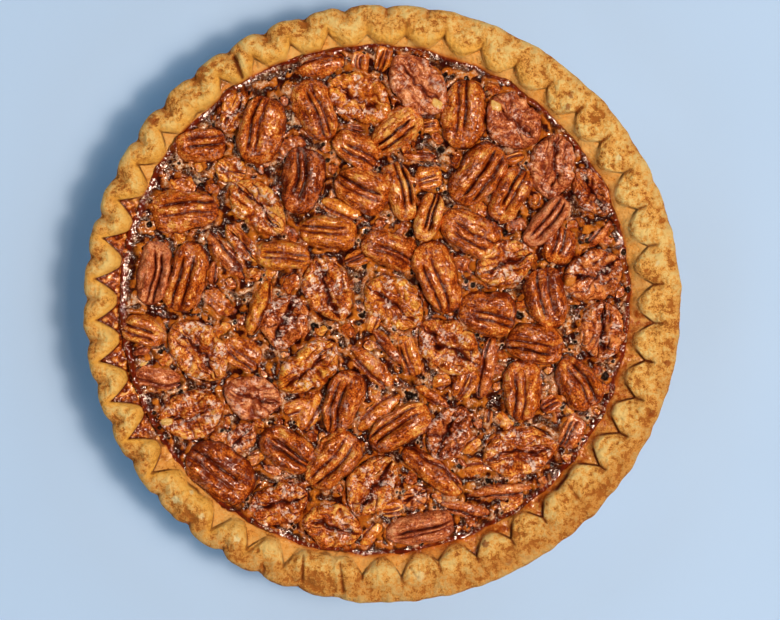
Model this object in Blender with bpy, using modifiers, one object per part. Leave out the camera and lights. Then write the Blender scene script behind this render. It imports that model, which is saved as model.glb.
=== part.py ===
"""A pecan pie in its own tin: fluted crust, set filling and the pecan halves that lie on it.

Metres, +Z up. The tin stands on z = 0 with its middle on the z axis.
"""
import math
import random

import bmesh
import bpy
import numpy as np
from mathutils import Matrix

MM = 0.001
GAP = 0.3

# Tin, in millimetres
TIN_BASE_RADIUS = 95.0
TIN_TOP_RADIUS = 115.5
TIN_RIM_RADIUS = 125.4
TIN_HEIGHT = 34.0
TIN_THICKNESS = 0.8
TIN_BEAD = 1.2
TIN_SEGMENTS = 72

# Crust, in millimetres and degrees
FLUTES = 44
STEPS_PER_FLUTE = 6
CRUST_RADIUS = 127.4
CRUST_TOP = 43.2
CRUST_FLOOR = 4.0
CRUST_BASE_INSIDE = 89.0
FIRST_NOTCH = 4.2
NOTCH_DRIFT = 0.6
NOTCH_SINK = 4.2
OUTER_NOTCH = 3.1
FAINT_NOTCHES = (133.5, 224.0, 257.0, 315.0)

# Filling, in millimetres
FILLING_TOP = 35.4
FILLING_RADIUS = 108.1
FILLING_SHIFT_X = -3.0
FILLING_SHIFT_Y = 1.7
FILLING_SEGMENTS = 88

# Pecan halves, in millimetres
HALF_RISE = {"back": 5.6, "face": 5.0, "side": 5.4}
HALF_CLEARANCE = 0.4
GROOVE_AT = 0.33
GROOVE_WIDTH = 0.13
SUNK_DEPTH = 1.2

FINISHES = {
    "glazed": ((0.42, 0.17, 0.05), 0.32),
    "amber": ((0.50, 0.22, 0.06), 0.30),
    "dark": ((0.22, 0.06, 0.025), 0.25),
    "dry": ((0.47, 0.23, 0.14), 0.60),
}

# Each pecan half: kind, finish, x, y, heading of its blunt end in degrees, length, width
HALVES = (
    ("back", "glazed", -52, 74, 76, 29, 19),
    ("back", "glazed", -78, 67.5, 4, 21.5, 14),
    ("back", "glazed", -84.5, 39.5, -176, 28, 17.5),
    ("face", "glazed", -53.5, 41.5, 137, 30.5, 18),
    ("back", "dry", -97.5, 13.5, 82, 27.5, 14),
    ("back", "glazed", -83.5, 11.5, -104, 30, 15.5),
    ("back", "amber", -43, 21, 176, 23, 13),
    ("side", "amber", -53, -1.5, 70, 24, 8.5),
    ("back", "glazed", -102, -11, 158, 18, 12.5),
    ("face", "glazed", -79, -19.5, -48, 31.5, 21.5),
    ("face", "dark", -42, -7.5, 70, 24, 20),
    ("face", "dry", -56, -39.5, -14, 25, 18),
    ("face", "glazed", -82, -47, -168, 29, 20),
    ("back", "glazed", -69.5, -71, -38, 31.5, 20),
    ("back", "glazed", -41.5, -62, -35, 25, 16.5),
    ("face", "glazed", -45, -85.5, 18, 26.5, 19),
    ("back", "glazed", -17.5, -42, 72, 28, 15.5),
    ("face", "amber", -32, -27, 38, 30.5, 19),
    ("back", "glazed", -21.5, -67, 50, 28, 18),
    ("face", "glazed", -5, -77.5, 58, 29, 20.5),
    ("face", "glazed", -22, -95, -10, 26.5, 19),
    ("back", "glazed", 7, -52.5, 33, 29, 15),
    ("side", "glazed", 21.5, -71.5, -38, 31.5, 11.5),
    ("face", "dark", 28, -55, -122, 25.5, 19),
    ("back", "dry", 15.5, -96, 10, 30, 13.5),
    ("face", "glazed", 58.5, -63, -168, 32.5, 20.5),
    ("back", "amber", -23.5, 30.5, -4, 24, 14),
    ("back", "glazed", 2.5, 23.5, -20, 24, 15.5),
    ("back", "glazed", 23.5, 11.5, 112, 31.5, 18),
    ("face", "glazed", -24, 6, 114, 29, 20),
    ("face", "amber", 4.5, 0.5, 145, 29, 21.5),
    ("face", "glazed", 28, -18.5, -38, 31.5, 20.5),
    ("back", "glazed", 37, 31, -28, 26.5, 17.5),
    ("face", "glazed", 52, 17.5, 22, 26.5, 20),
    ("back", "glazed", 44.5, -3.5, -15, 25, 19),
    ("back", "glazed", 70, 2.5, 102, 26.5, 17.5),
    ("back", "glazed", 65, -17, -8, 25, 16.5),
    ("back", "dry", 70, 35, 48, 25.5, 11.5),
    ("face", "dark", 90, 12.5, -155, 27.5, 21.5),
    ("face", "dark", 94, -11.5, 88, 25.5, 20),
    ("back", "glazed", 83.5, -34, -58, 25, 16.5),
    ("back", "glazed", 59.5, -37, 90, 25.5, 16.5),
    ("face", "dark", 89, 48, -58, 24.5, 13),
    ("back", "glazed", 34, 81, 84, 29, 18),
    ("face", "dry", 55.5, 78, 138, 27.5, 22.5),
    ("face", "dry", 72.5, 59, 82, 28, 20.5),
    ("back", "glazed", 40, 55.5, 54, 30, 18),
    ("back", "glazed", 54, 46.5, 62, 25, 14),
    ("face", "amber", -10, 88, -28, 30, 20.5),
    ("face", "dry", 14.5, 93.5, -48, 31.5, 20.5),
    ("back", "glazed", 5.5, 74.5, 42, 24, 14),
    ("back", "glazed", -11.5, 66.5, -32, 21.5, 14),
    ("back", "glazed", -9, 49, -25, 25, 17.5),
    ("back", "glazed", 7, 48, 106, 25.5, 11.5),
    ("back", "glazed", 19.5, 37, 74, 21.5, 11.5),
    ("back", "glazed", -29.5, 82.5, 114, 27.5, 16.5),
    ("back", "dark", -34, 52.5, 80, 28, 17.5),
)

# Each piece sunk in the filling: kind, x, y, heading in degrees, length, width, rise
SUNK = (
    ("face", -63.5, 81.5, 65, 16, 10, 3.0),
    ("side", -67, 20.5, -52, 25, 8.0, 3.2),
    ("back", -60.5, 26, -50, 20, 7.5, 3.0),
    ("side", -96.5, -31, 172, 22.5, 10, 3.6),
    ("back", -60.5, -20.5, -35, 17, 12, 3.0),
    ("side", -31.5, -46.5, 60, 17, 8.5, 2.6),
    ("side", -2, -45.5, 40, 22, 7.0, 2.8),
    ("side", 35, -88, -12, 22.5, 7, 3.4),
    ("side", 50.5, -80.5, 6, 29, 6.5, 3.6),
    ("side", -5, -27, -46, 24, 8.0, 3.2),
    ("side", 2, -19, -48, 18, 6.0, 2.6),
    ("back", 11.5, -22, -75, 18, 8.0, 2.8),
    ("back", 35, -34, 60, 14, 9, 2.8),
    ("side", 44.5, -27.5, 78, 25, 7, 3.2),
    ("back", 76, 25, 72, 15, 12, 3.0),
    ("side", -26.5, 102, 12, 20, 9, 3.2),
    ("side", -18, 40, -24, 18, 7.5, 2.6),
    ("back", -65, 57, -15, 12, 8, 2.6),
    ("back", -60.5, -57, 45, 15, 11, 2.6),
    ("side", -37.5, -44.5, 18, 13, 8, 2.0),
    ("back", 4, -87.5, 15, 10, 6, 2.2),
    ("side", -5, -98, 48, 13, 6, 2.4),
    ("face", 13.5, -82.5, 20, 13, 9.5, 2.0),
    ("side", 20.5, -39.5, -32, 17, 6, 2.4),
    ("back", -10.5, 20, 18, 12, 7, 2.0),
    ("back", 81.5, -55, 60, 16, 10, 2.6),
    ("side", 93.5, 30.5, 48, 16, 6, 2.4),
    ("side", 15.5, 63.5, 0, 16, 5, 2.4),
    ("back", 19.5, 54, 10, 11, 9.5, 2.4),
    ("back", 0, 105, 75, 11, 7, 2.4),
    ("side", 39.5, -70.5, 10, 11, 7, 2.2),
    ("back", 72, -42.5, 30, 8.5, 7, 2.2),
)

# Blisters and flakes of the crust: angle in degrees, radius, rise, spread
BLISTERS = (
    (32.0, 118.0, 0.9, 3.2),
    (46.5, 116.5, 0.8, 4.0),
    (293.0, 112.5, 0.9, 3.0),
    (338.5, 123.0, 0.8, 3.5),
    (348.0, 123.0, 0.7, 3.5),
    (256.0, 117.0, -0.8, 3.5),
    (119.5, 120.0, -0.9, 2.5),
)


def clear_objects():
    """Start from an empty scene."""
    for old in list(bpy.data.objects):
        bpy.data.objects.remove(old, do_unlink=True)


def new_collection(name):
    """A collection linked to the scene."""
    collection = bpy.data.collections.new(name)
    bpy.context.scene.collection.children.link(collection)
    return collection


def principled(name, colour, roughness, metallic=0.0):
    """A plain Principled material."""
    material = bpy.data.materials.new(name)
    material.use_nodes = True
    shader = material.node_tree.nodes["Principled BSDF"]
    shader.inputs["Base Color"].default_value = (*colour, 1.0)
    shader.inputs["Roughness"].default_value = roughness
    shader.inputs["Metallic"].default_value = metallic
    material.diffuse_color = (*colour, 1.0)
    return material


def tin_material():
    """Thin pressed aluminium."""
    return principled("tin_metal", (0.62, 0.62, 0.63), 0.35, 1.0)


def crust_material():
    """Golden baked pastry."""
    return principled("crust_baked", (0.64, 0.36, 0.11), 0.62)


def filling_material():
    """Dark set syrup."""
    return principled("filling_set", (0.20, 0.065, 0.02), 0.28)


def finished(obj, material, collection, sharp_degrees=40.0):
    """Give an object its material, its collection and smooth shading."""
    obj.data.materials.clear()
    obj.data.materials.append(material)
    collection.objects.link(obj)
    obj.data.shade_smooth()
    obj.data.set_sharp_from_angle(angle=math.radians(sharp_degrees))
    return obj


def turned_mesh(name, profile, segments):
    """Turn a profile of (radius, height) about the z axis with the Screw tool."""
    mesh = bpy.data.meshes.new(name + "_profile")
    points = [(radius, 0.0, height) for radius, height in profile]
    edges = [(i, i + 1) for i in range(len(points) - 1)]
    mesh.from_pydata(points, edges, [])
    holder = bpy.data.objects.new(name + "_profile", mesh)
    bpy.context.scene.collection.objects.link(holder)
    screw = holder.modifiers.new("turn", "SCREW")
    screw.axis = "Z"
    screw.angle = 2.0 * math.pi
    screw.steps = segments
    screw.render_steps = segments
    screw.use_merge_vertices = True
    screw.merge_threshold = 0.0001
    screw.use_normal_calculate = True
    graph = bpy.context.evaluated_depsgraph_get()
    turned = bpy.data.meshes.new_from_object(holder.evaluated_get(graph), depsgraph=graph)
    turned.name = name
    bpy.data.objects.remove(holder, do_unlink=True)
    return turned


def face_outward(mesh):
    """Weld poles and turn all faces outward."""
    shape = bmesh.new()
    shape.from_mesh(mesh)
    bmesh.ops.remove_doubles(shape, verts=shape.verts, dist=0.000005)
    bmesh.ops.recalc_face_normals(shape, faces=shape.faces)
    shape.to_mesh(mesh)
    shape.free()


def ring_of(radius, height, profile):
    """The row of the profile that a turned point belongs to."""
    distances = [math.hypot(radius - r, height - z) for r, z in profile]
    return distances.index(min(distances))


def build_tin(collection):
    """The tin: flat base, sloping side and a rolled rim, one turned skin."""
    outside = TIN_BASE_RADIUS - TIN_THICKNESS
    bead_middle = TIN_RIM_RADIUS - TIN_BEAD
    profile = [
        (0.0, TIN_THICKNESS),
        (TIN_BASE_RADIUS - TIN_THICKNESS, TIN_THICKNESS),
        (TIN_TOP_RADIUS, TIN_HEIGHT),
        (bead_middle, TIN_HEIGHT),
        (TIN_RIM_RADIUS, TIN_HEIGHT - TIN_BEAD),
        (bead_middle, TIN_HEIGHT - 2.0 * TIN_BEAD),
        (bead_middle - 1.4, TIN_HEIGHT - TIN_THICKNESS),
        (TIN_TOP_RADIUS + 0.5, TIN_HEIGHT - TIN_THICKNESS),
        (outside + 0.4, 0.0),
        (0.0, 0.0),
    ]
    metres = [(radius * MM, height * MM) for radius, height in profile]
    mesh = turned_mesh("tin", metres, TIN_SEGMENTS)
    face_outward(mesh)
    return finished(bpy.data.objects.new("tin", mesh), tin_material(), collection)


def filling_edge(angle):
    """Radius at which the filling meets the crust: a circle set off the pie's axis."""
    along = FILLING_SHIFT_X * math.cos(angle) + FILLING_SHIFT_Y * math.sin(angle)
    return FILLING_RADIUS + along


def notch_phase(angle):
    """How far an angle is from the nearest inner notch: 0 at the notch, 1 mid-lobe."""
    degrees = math.degrees(angle) % 360.0
    drift = NOTCH_DRIFT * (math.cos(math.radians(degrees + 10.0)) - 1.0)
    turns = (degrees - FIRST_NOTCH - drift) * FLUTES / 360.0
    return 2.0 * abs(turns - round(turns))


def lobe_tip(angle):
    """Radius of the inner tips of the crust's lobes."""
    twice = 2.0 * angle
    return 109.8 - 1.9 * math.cos(angle) + math.sin(angle) + 0.7 * math.cos(twice) + 0.6 * math.sin(twice)


def notch_root(angle):
    """Radius of the roots of the inner notches."""
    twice = 2.0 * angle
    return 117.6 - 3.1 * math.cos(angle) + 1.3 * math.cos(twice) + 0.8 * math.sin(twice)


def outer_notch_depth(angle):
    """Depth of the outer notches: deep on the far side, fading round the near side."""
    away = math.cos(angle - math.radians(175.0))
    return 0.6 + OUTER_NOTCH * min(1.0, max(0.0, 0.3 + 2.1 * away))


def notch_opening(angle):
    """How open the inner notch is at an angle: 1 at its root, 0 from the lobe's tip on."""
    degrees = math.degrees(angle) % 360.0
    faint = any(abs(degrees - place) < 3.5 for place in FAINT_NOTCHES)
    opening = max(0.0, 1.0 - notch_phase(angle) / 0.66)
    return opening * (0.35 if faint else 1.0)


def unevenness(angle):
    """Slow rise and fall of the hand-pressed rim, in millimetres."""
    slow = 0.30 * math.sin(3.0 * angle + 0.7) + 0.28 * math.sin(8.0 * angle + 2.1)
    return slow + 0.22 * math.sin(19.0 * angle)


def smooth(value):
    """Ease a value between 0 and 1."""
    value = min(1.0, max(0.0, value))
    return value * value * (3.0 - 2.0 * value)


def blister_rise(angle, radius):
    """Height that the blisters and flakes add at a place on the crust."""
    x = radius * math.cos(angle)
    y = radius * math.sin(angle)
    rise = 0.0
    for degrees, reach, height, spread in BLISTERS:
        middle = math.radians(degrees)
        away = math.hypot(x - reach * math.cos(middle), y - reach * math.sin(middle))
        rise += height * math.exp(-((away / spread) ** 2))
    return rise


def fluted(ring, angle, radius, height):
    """Radius and height of a crust point once the flutes are pinched in.

    ring counts the profile rows from the inside floor: 2 filling line, 3 lobe tip,
    4 tooth top, 5 and 6 crown, 7 and 8 outer side.
    """
    opening = notch_opening(angle)
    pinch = outer_notch_depth(angle) * smooth((notch_phase(angle) - 0.45) / 0.55)
    uneven = unevenness(angle)
    tip = lobe_tip(angle) + 0.6 * uneven
    root = notch_root(angle)
    if ring == 2:
        return filling_edge(angle) + GAP + 0.1, height
    if ring == 3:
        return tip + (root - 3.4 - tip) * opening, height - 0.9 * NOTCH_SINK * opening
    if ring == 4:
        inner = tip + 3.0
        rise = uneven + blister_rise(angle, inner)
        return inner + (root - 0.6 - inner) * opening, height - NOTCH_SINK * opening + rise
    if ring == 5:
        middle = 0.5 * (tip + radius) + 1.4
        rise = uneven + blister_rise(angle, middle)
        return middle + (root + 1.4 - middle) * opening, height - 0.6 * NOTCH_SINK * opening + rise
    if ring == 6:
        rise = uneven + blister_rise(angle, radius)
        return radius - 0.6 * pinch, height - 0.3 * NOTCH_SINK * opening - 0.3 * pinch + rise
    if ring == 7:
        return radius - pinch, height
    if ring == 8:
        return radius - 0.3 * pinch, height
    return radius, height


def build_crust(collection):
    """The crust: a shell that lines the tin and a fluted rim that lies on the tin's rim."""
    lining = TIN_THICKNESS + GAP
    slope = (TIN_TOP_RADIUS - TIN_BASE_RADIUS + TIN_THICKNESS) / (TIN_HEIGHT - TIN_THICKNESS)
    wall_gap = GAP * 1.25
    profile = [
        (0.0, lining + CRUST_FLOOR),
        (CRUST_BASE_INSIDE, lining + CRUST_FLOOR),
        (FILLING_RADIUS, FILLING_TOP + 0.2),
        (109.5, 39.6),
        (112.5, 42.4),
        (119.0, CRUST_TOP),
        (124.0, 42.2),
        (CRUST_RADIUS, 39.6),
        (CRUST_RADIUS - 0.2, 36.2),
        (TIN_RIM_RADIUS - 0.9, TIN_HEIGHT + GAP),
        (TIN_TOP_RADIUS - wall_gap, TIN_HEIGHT + GAP),
        (TIN_TOP_RADIUS - wall_gap - slope * (TIN_HEIGHT - lining), lining),
        (0.0, lining),
    ]
    metres = [(radius * MM, height * MM) for radius, height in profile]
    mesh = turned_mesh("crust", metres, FLUTES * STEPS_PER_FLUTE)
    face_outward(mesh)
    for vertex in mesh.vertices:
        radius = math.hypot(vertex.co.x, vertex.co.y) / MM
        height = vertex.co.z / MM
        if radius < 1.0:
            continue
        angle = math.atan2(vertex.co.y, vertex.co.x)
        ring = ring_of(radius, height, profile)
        radius, height = fluted(ring, angle, *profile[ring])
        vertex.co = (radius * MM * math.cos(angle), radius * MM * math.sin(angle), height * MM)
    return finished(bpy.data.objects.new("crust", mesh), crust_material(), collection)


def half_outline(along, kind):
    """Half-width of a pecan half, 0 to 1, at a place along it from -1 to 1."""
    belly = (1.0 - abs(along) ** 2.3) ** (1.0 / 2.1)
    taper = 0.07 if kind == "back" else 0.04
    return max(0.0, belly) * (1.0 + taper * along)


def half_height(along, across, kind):
    """Height of a pecan half, 0 to 1, at a place along and across it.

    back: a crown with two long grooves; face: two lobes beside a cleft, with a
    small knob at the blunt end; side: a half on its edge with one groove.
    """
    crown = math.sqrt(max(0.0, 1.0 - abs(across) ** 3.4))
    fall = math.sqrt(max(0.0, 1.0 - abs(along) ** 2.8))
    reach = 1.0 - along * along
    if kind == "back":
        groove = math.exp(-(((abs(across) - GROOVE_AT) / GROOVE_WIDTH) ** 2))
        return crown * fall - 0.42 * groove * reach
    if kind == "face":
        cleft = math.exp(-((across / 0.16) ** 2))
        knob = math.exp(-(((along - 0.62) / 0.2) ** 2))
        return crown * fall - cleft * reach * (0.62 - 0.80 * knob)
    groove = math.exp(-(((across - GROOVE_AT) / GROOVE_WIDTH) ** 2))
    return crown * fall - 0.36 * groove * reach


def half_shape(kind, length, width, rise, around, rings):
    """Mesh of a pecan half, flat below, from a sphere cut in two and moved by formula."""
    shape = bmesh.new()
    bmesh.ops.create_uvsphere(shape, u_segments=around, v_segments=rings, radius=1.0)
    bmesh.ops.rotate(shape, verts=shape.verts, matrix=Matrix.Rotation(math.pi / 2.0, 3, "Y"))
    everything = list(shape.verts) + list(shape.edges) + list(shape.faces)
    bmesh.ops.bisect_plane(
        shape, geom=everything, dist=0.0001, plane_co=(0, 0, 0), plane_no=(0, 0, -1), clear_outer=True
    )
    bmesh.ops.holes_fill(shape, edges=[edge for edge in shape.edges if edge.is_boundary], sides=0)
    for vertex in shape.verts:
        along = max(-1.0, min(1.0, vertex.co.x))
        chord = math.sqrt(max(0.0, 1.0 - along * along))
        share = max(-1.0, min(1.0, vertex.co.y / chord)) if chord > 0.01 else 0.0
        across = 2.0 / math.pi * math.asin(share)
        lifted = vertex.co.z > 0.001
        up = max(0.12, half_height(along, across, kind)) * rise if lifted else 0.0
        half_width = half_outline(along, kind) * width / 2.0
        vertex.co = (along * length / 2.0 * MM, across * half_width * MM, up * MM)
    bmesh.ops.recalc_face_normals(shape, faces=shape.faces)
    mesh = bpy.data.meshes.new("pecan_half")
    shape.to_mesh(mesh)
    shape.free()
    return mesh


def place(obj, x, y, z, heading):
    """Set an object down at a place and heading."""
    obj.location = (x * MM, y * MM, z * MM)
    obj.rotation_euler = (0.0, 0.0, math.radians(heading))


def footprint(kind, x, y, heading, length, width, count=28):
    """Points round the outline of a pecan half on the filling."""
    turn = math.radians(heading)
    points = []
    for i in range(count):
        angle = 2.0 * math.pi * i / count
        along = math.cos(angle)
        across = math.copysign(abs(math.sin(angle)) ** 0.9, math.sin(angle)) * width / 2.0
        points.append(
            (
                x + along * length / 2.0 * math.cos(turn) - across * math.sin(turn),
                y + along * length / 2.0 * math.sin(turn) + across * math.cos(turn),
            )
        )
    return np.array(points)


def inside_by(points, half):
    """How deep the deepest of some points lies inside a half's outline, in millimetres."""
    x, y, heading, length, width = half
    turn = math.radians(heading)
    dx = points[:, 0] - x
    dy = points[:, 1] - y
    along = (dx * math.cos(turn) + dy * math.sin(turn)) / (length / 2.0)
    across = (-dx * math.sin(turn) + dy * math.cos(turn)) / (width / 2.0)
    level = (np.abs(along) ** 2.2 + np.abs(across) ** 2.2) ** (1.0 / 2.2)
    return (1.0 - level.min()) * width / 2.0


def spread(halves):
    """Ease overlapping halves apart, and draw them in a little, until all are clear.

    Each entry is [kind, x, y, heading, length, width]. Halves that press past the
    edge of the filling are pushed back in.
    """
    placed = [list(half) for half in halves]
    for _ in range(120):
        moved = False
        for i, first in enumerate(placed):
            for second in placed[i + 1:]:
                dx = second[1] - first[1]
                dy = second[2] - first[2]
                far = math.hypot(dx, dy)
                if far > 0.5 * (first[4] + second[4]) + 2.0:
                    continue
                outline = footprint(*first)
                other = footprint(*second)
                deep = max(inside_by(outline, second[1:]), inside_by(other, first[1:])) + HALF_CLEARANCE
                if deep <= 0.0:
                    continue
                moved = True
                step = 0.25 * deep / max(far, 0.1)
                first[1] -= dx * step
                first[2] -= dy * step
                second[1] += dx * step
                second[2] += dy * step
                for half in (first, second):
                    half[4] *= 0.998
                    half[5] *= 0.996
        for half in placed:
            points = footprint(*half)
            reach = np.hypot(points[:, 0] - FILLING_SHIFT_X, points[:, 1] - FILLING_SHIFT_Y).max()
            over = reach - (FILLING_RADIUS - 0.6)
            if over > 0.0:
                moved = True
                away = math.hypot(half[1] - FILLING_SHIFT_X, half[2] - FILLING_SHIFT_Y)
                half[1] -= over * (half[1] - FILLING_SHIFT_X) / away
                half[2] -= over * (half[2] - FILLING_SHIFT_Y) / away
        if not moved:
            break
    return placed


def build_filling(collection, pieces, sunk):
    """The filling: a solid that fills the crust, with the sunk pieces fused to its top."""
    floor = TIN_THICKNESS + GAP + CRUST_FLOOR + GAP
    profile = [
        (0.0, FILLING_TOP),
        (FILLING_RADIUS, FILLING_TOP),
        (CRUST_BASE_INSIDE - GAP - 0.1, floor),
        (0.0, floor),
    ]
    metres = [(radius * MM, height * MM) for radius, height in profile]
    mesh = turned_mesh("filling", metres, FILLING_SEGMENTS)
    face_outward(mesh)
    for vertex in mesh.vertices:
        if vertex.co.z > (FILLING_TOP - 1.0) * MM and math.hypot(vertex.co.x, vertex.co.y) > 50.0 * MM:
            angle = math.atan2(vertex.co.y, vertex.co.x)
            radius = filling_edge(angle)
            vertex.co.x = radius * MM * math.cos(angle)
            vertex.co.y = radius * MM * math.sin(angle)
    filling = finished(bpy.data.objects.new("filling", mesh), filling_material(), collection)
    for kind, x, y, heading, length, width, rise in sunk:
        piece_mesh = half_shape(kind, length, width, rise + SUNK_DEPTH, 8, 5)
        piece = bpy.data.objects.new("sunk_piece", piece_mesh)
        place(piece, x, y, FILLING_TOP - SUNK_DEPTH, heading)
        pieces.objects.link(piece)
    bpy.context.view_layer.update()
    join = filling.modifiers.new("fuse", "BOOLEAN")
    join.operation = "UNION"
    join.operand_type = "COLLECTION"
    join.collection = pieces
    join.solver = "EXACT"
    graph = bpy.context.evaluated_depsgraph_get()
    fused = bpy.data.meshes.new_from_object(filling.evaluated_get(graph), depsgraph=graph)
    filling.modifiers.remove(join)
    for piece in list(pieces.objects):
        bpy.data.objects.remove(piece, do_unlink=True)
    fused.materials.clear()
    fused.materials.append(filling.data.materials[0])
    filling.data = fused
    filling.data.set_sharp_from_angle(angle=math.radians(40.0))
    return filling


def build_halves(collection, placed):
    """The pecan halves that lie on the filling, each its own solid."""
    materials = {}
    for name, (colour, roughness) in FINISHES.items():
        materials[name] = principled("pecan_" + name, colour, roughness)
    chance = random.Random(7)
    for number, (row, half) in enumerate(zip(HALVES, placed), start=1):
        kind, x, y, heading, length, width = half
        rise = HALF_RISE[kind] * chance.uniform(0.9, 1.1)
        mesh = half_shape(kind, length, width, rise, 12, 7)
        pecan = bpy.data.objects.new("pecan_%02d" % number, mesh)
        place(pecan, x, y, FILLING_TOP + GAP, heading)
        finished(pecan, materials[row[1]], collection, 38.0)


def main():
    """Build the pie."""
    clear_objects()
    pie = new_collection("pecan_pie")
    pieces = new_collection("sunk_pieces")
    build_tin(pie)
    build_crust(pie)
    halves = [[kind, x, y, heading, length, width] for kind, _, x, y, heading, length, width in HALVES]
    sunk = [[kind, x, y, heading, length, width] for kind, x, y, heading, length, width, _ in SUNK]
    placed = spread(halves + sunk)
    rises = [row[6] for row in SUNK]
    sunk_rows = [half + [rise] for half, rise in zip(placed[len(HALVES):], rises)]
    build_filling(pie, pieces, sunk_rows)
    build_halves(pie, placed[:len(HALVES)])


if __name__ == "__main__":
    main()
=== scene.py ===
"""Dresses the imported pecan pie: fluted crust, foamy set filling, pecan halves and the tin.

Lengths are millimetres inside the classes and metres in the meshes. The pie's axis is the z axis.
"""

import logging
import math
from dataclasses import dataclass
from enum import Enum

import bpy
import numpy as np
from mathutils import Matrix, Vector


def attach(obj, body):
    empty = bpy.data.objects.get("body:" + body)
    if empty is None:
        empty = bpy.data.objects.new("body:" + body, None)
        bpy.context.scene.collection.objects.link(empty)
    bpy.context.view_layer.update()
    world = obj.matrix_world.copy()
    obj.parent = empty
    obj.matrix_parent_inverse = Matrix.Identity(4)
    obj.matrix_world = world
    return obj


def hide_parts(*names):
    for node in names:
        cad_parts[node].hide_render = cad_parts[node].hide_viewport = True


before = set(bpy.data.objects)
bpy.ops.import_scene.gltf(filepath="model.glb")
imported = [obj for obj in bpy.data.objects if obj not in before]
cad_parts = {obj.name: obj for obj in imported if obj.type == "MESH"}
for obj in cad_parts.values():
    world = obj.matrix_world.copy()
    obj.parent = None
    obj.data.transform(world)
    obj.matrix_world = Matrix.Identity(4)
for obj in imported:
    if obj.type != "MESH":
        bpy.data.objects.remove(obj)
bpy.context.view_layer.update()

MM = 0.001
LOG = logging.getLogger("pie")

Array = np.ndarray
Pair = tuple[Array, Array]
Values = dict[str, Array]
Colour = tuple[float, float, float]


class Form(Enum):
    """Which way up a pecan half lies; a chip is a broken bit of one."""

    BACK = "back"
    FACE = "face"
    SIDE = "side"
    CHIP = "chip"


class Finish(Enum):
    """How a nut's skin looks, each with a slot's name that the script does not use."""

    GLAZED = "pecan_glazed"
    AMBER = "pecan_amber"
    DARK = "pecan_dark"
    DRY = "pecan_dry"


@dataclass(frozen=True)
class Spot:
    """Where a pecan half lies.

    Args:
        form: which way up it lies.
        finish: its skin.
        x, y: its middle.
        heading: direction of its blunt end, degrees from +X towards +Y.
        length, width: its size.
        lift: how far it is raised over the filling's level.
        rise: height over its own middle plane, 0 for its form's usual rise.
        nub: how clearly a face's pale knob shows, or how pale a chip is, 0 to 1.
        tone: how much paler than most its skin is, -1 to 1.
    """

    form: Form
    finish: Finish
    x: float
    y: float
    heading: float
    length: float
    width: float
    lift: float = 0.0
    rise: float = 0.0
    nub: float = 0.0
    tone: float = 0.0


BACK, FACE, SIDE = Form.BACK, Form.FACE, Form.SIDE
GLAZED, AMBER, DARK, DRY = Finish.GLAZED, Finish.AMBER, Finish.DARK, Finish.DRY

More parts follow.
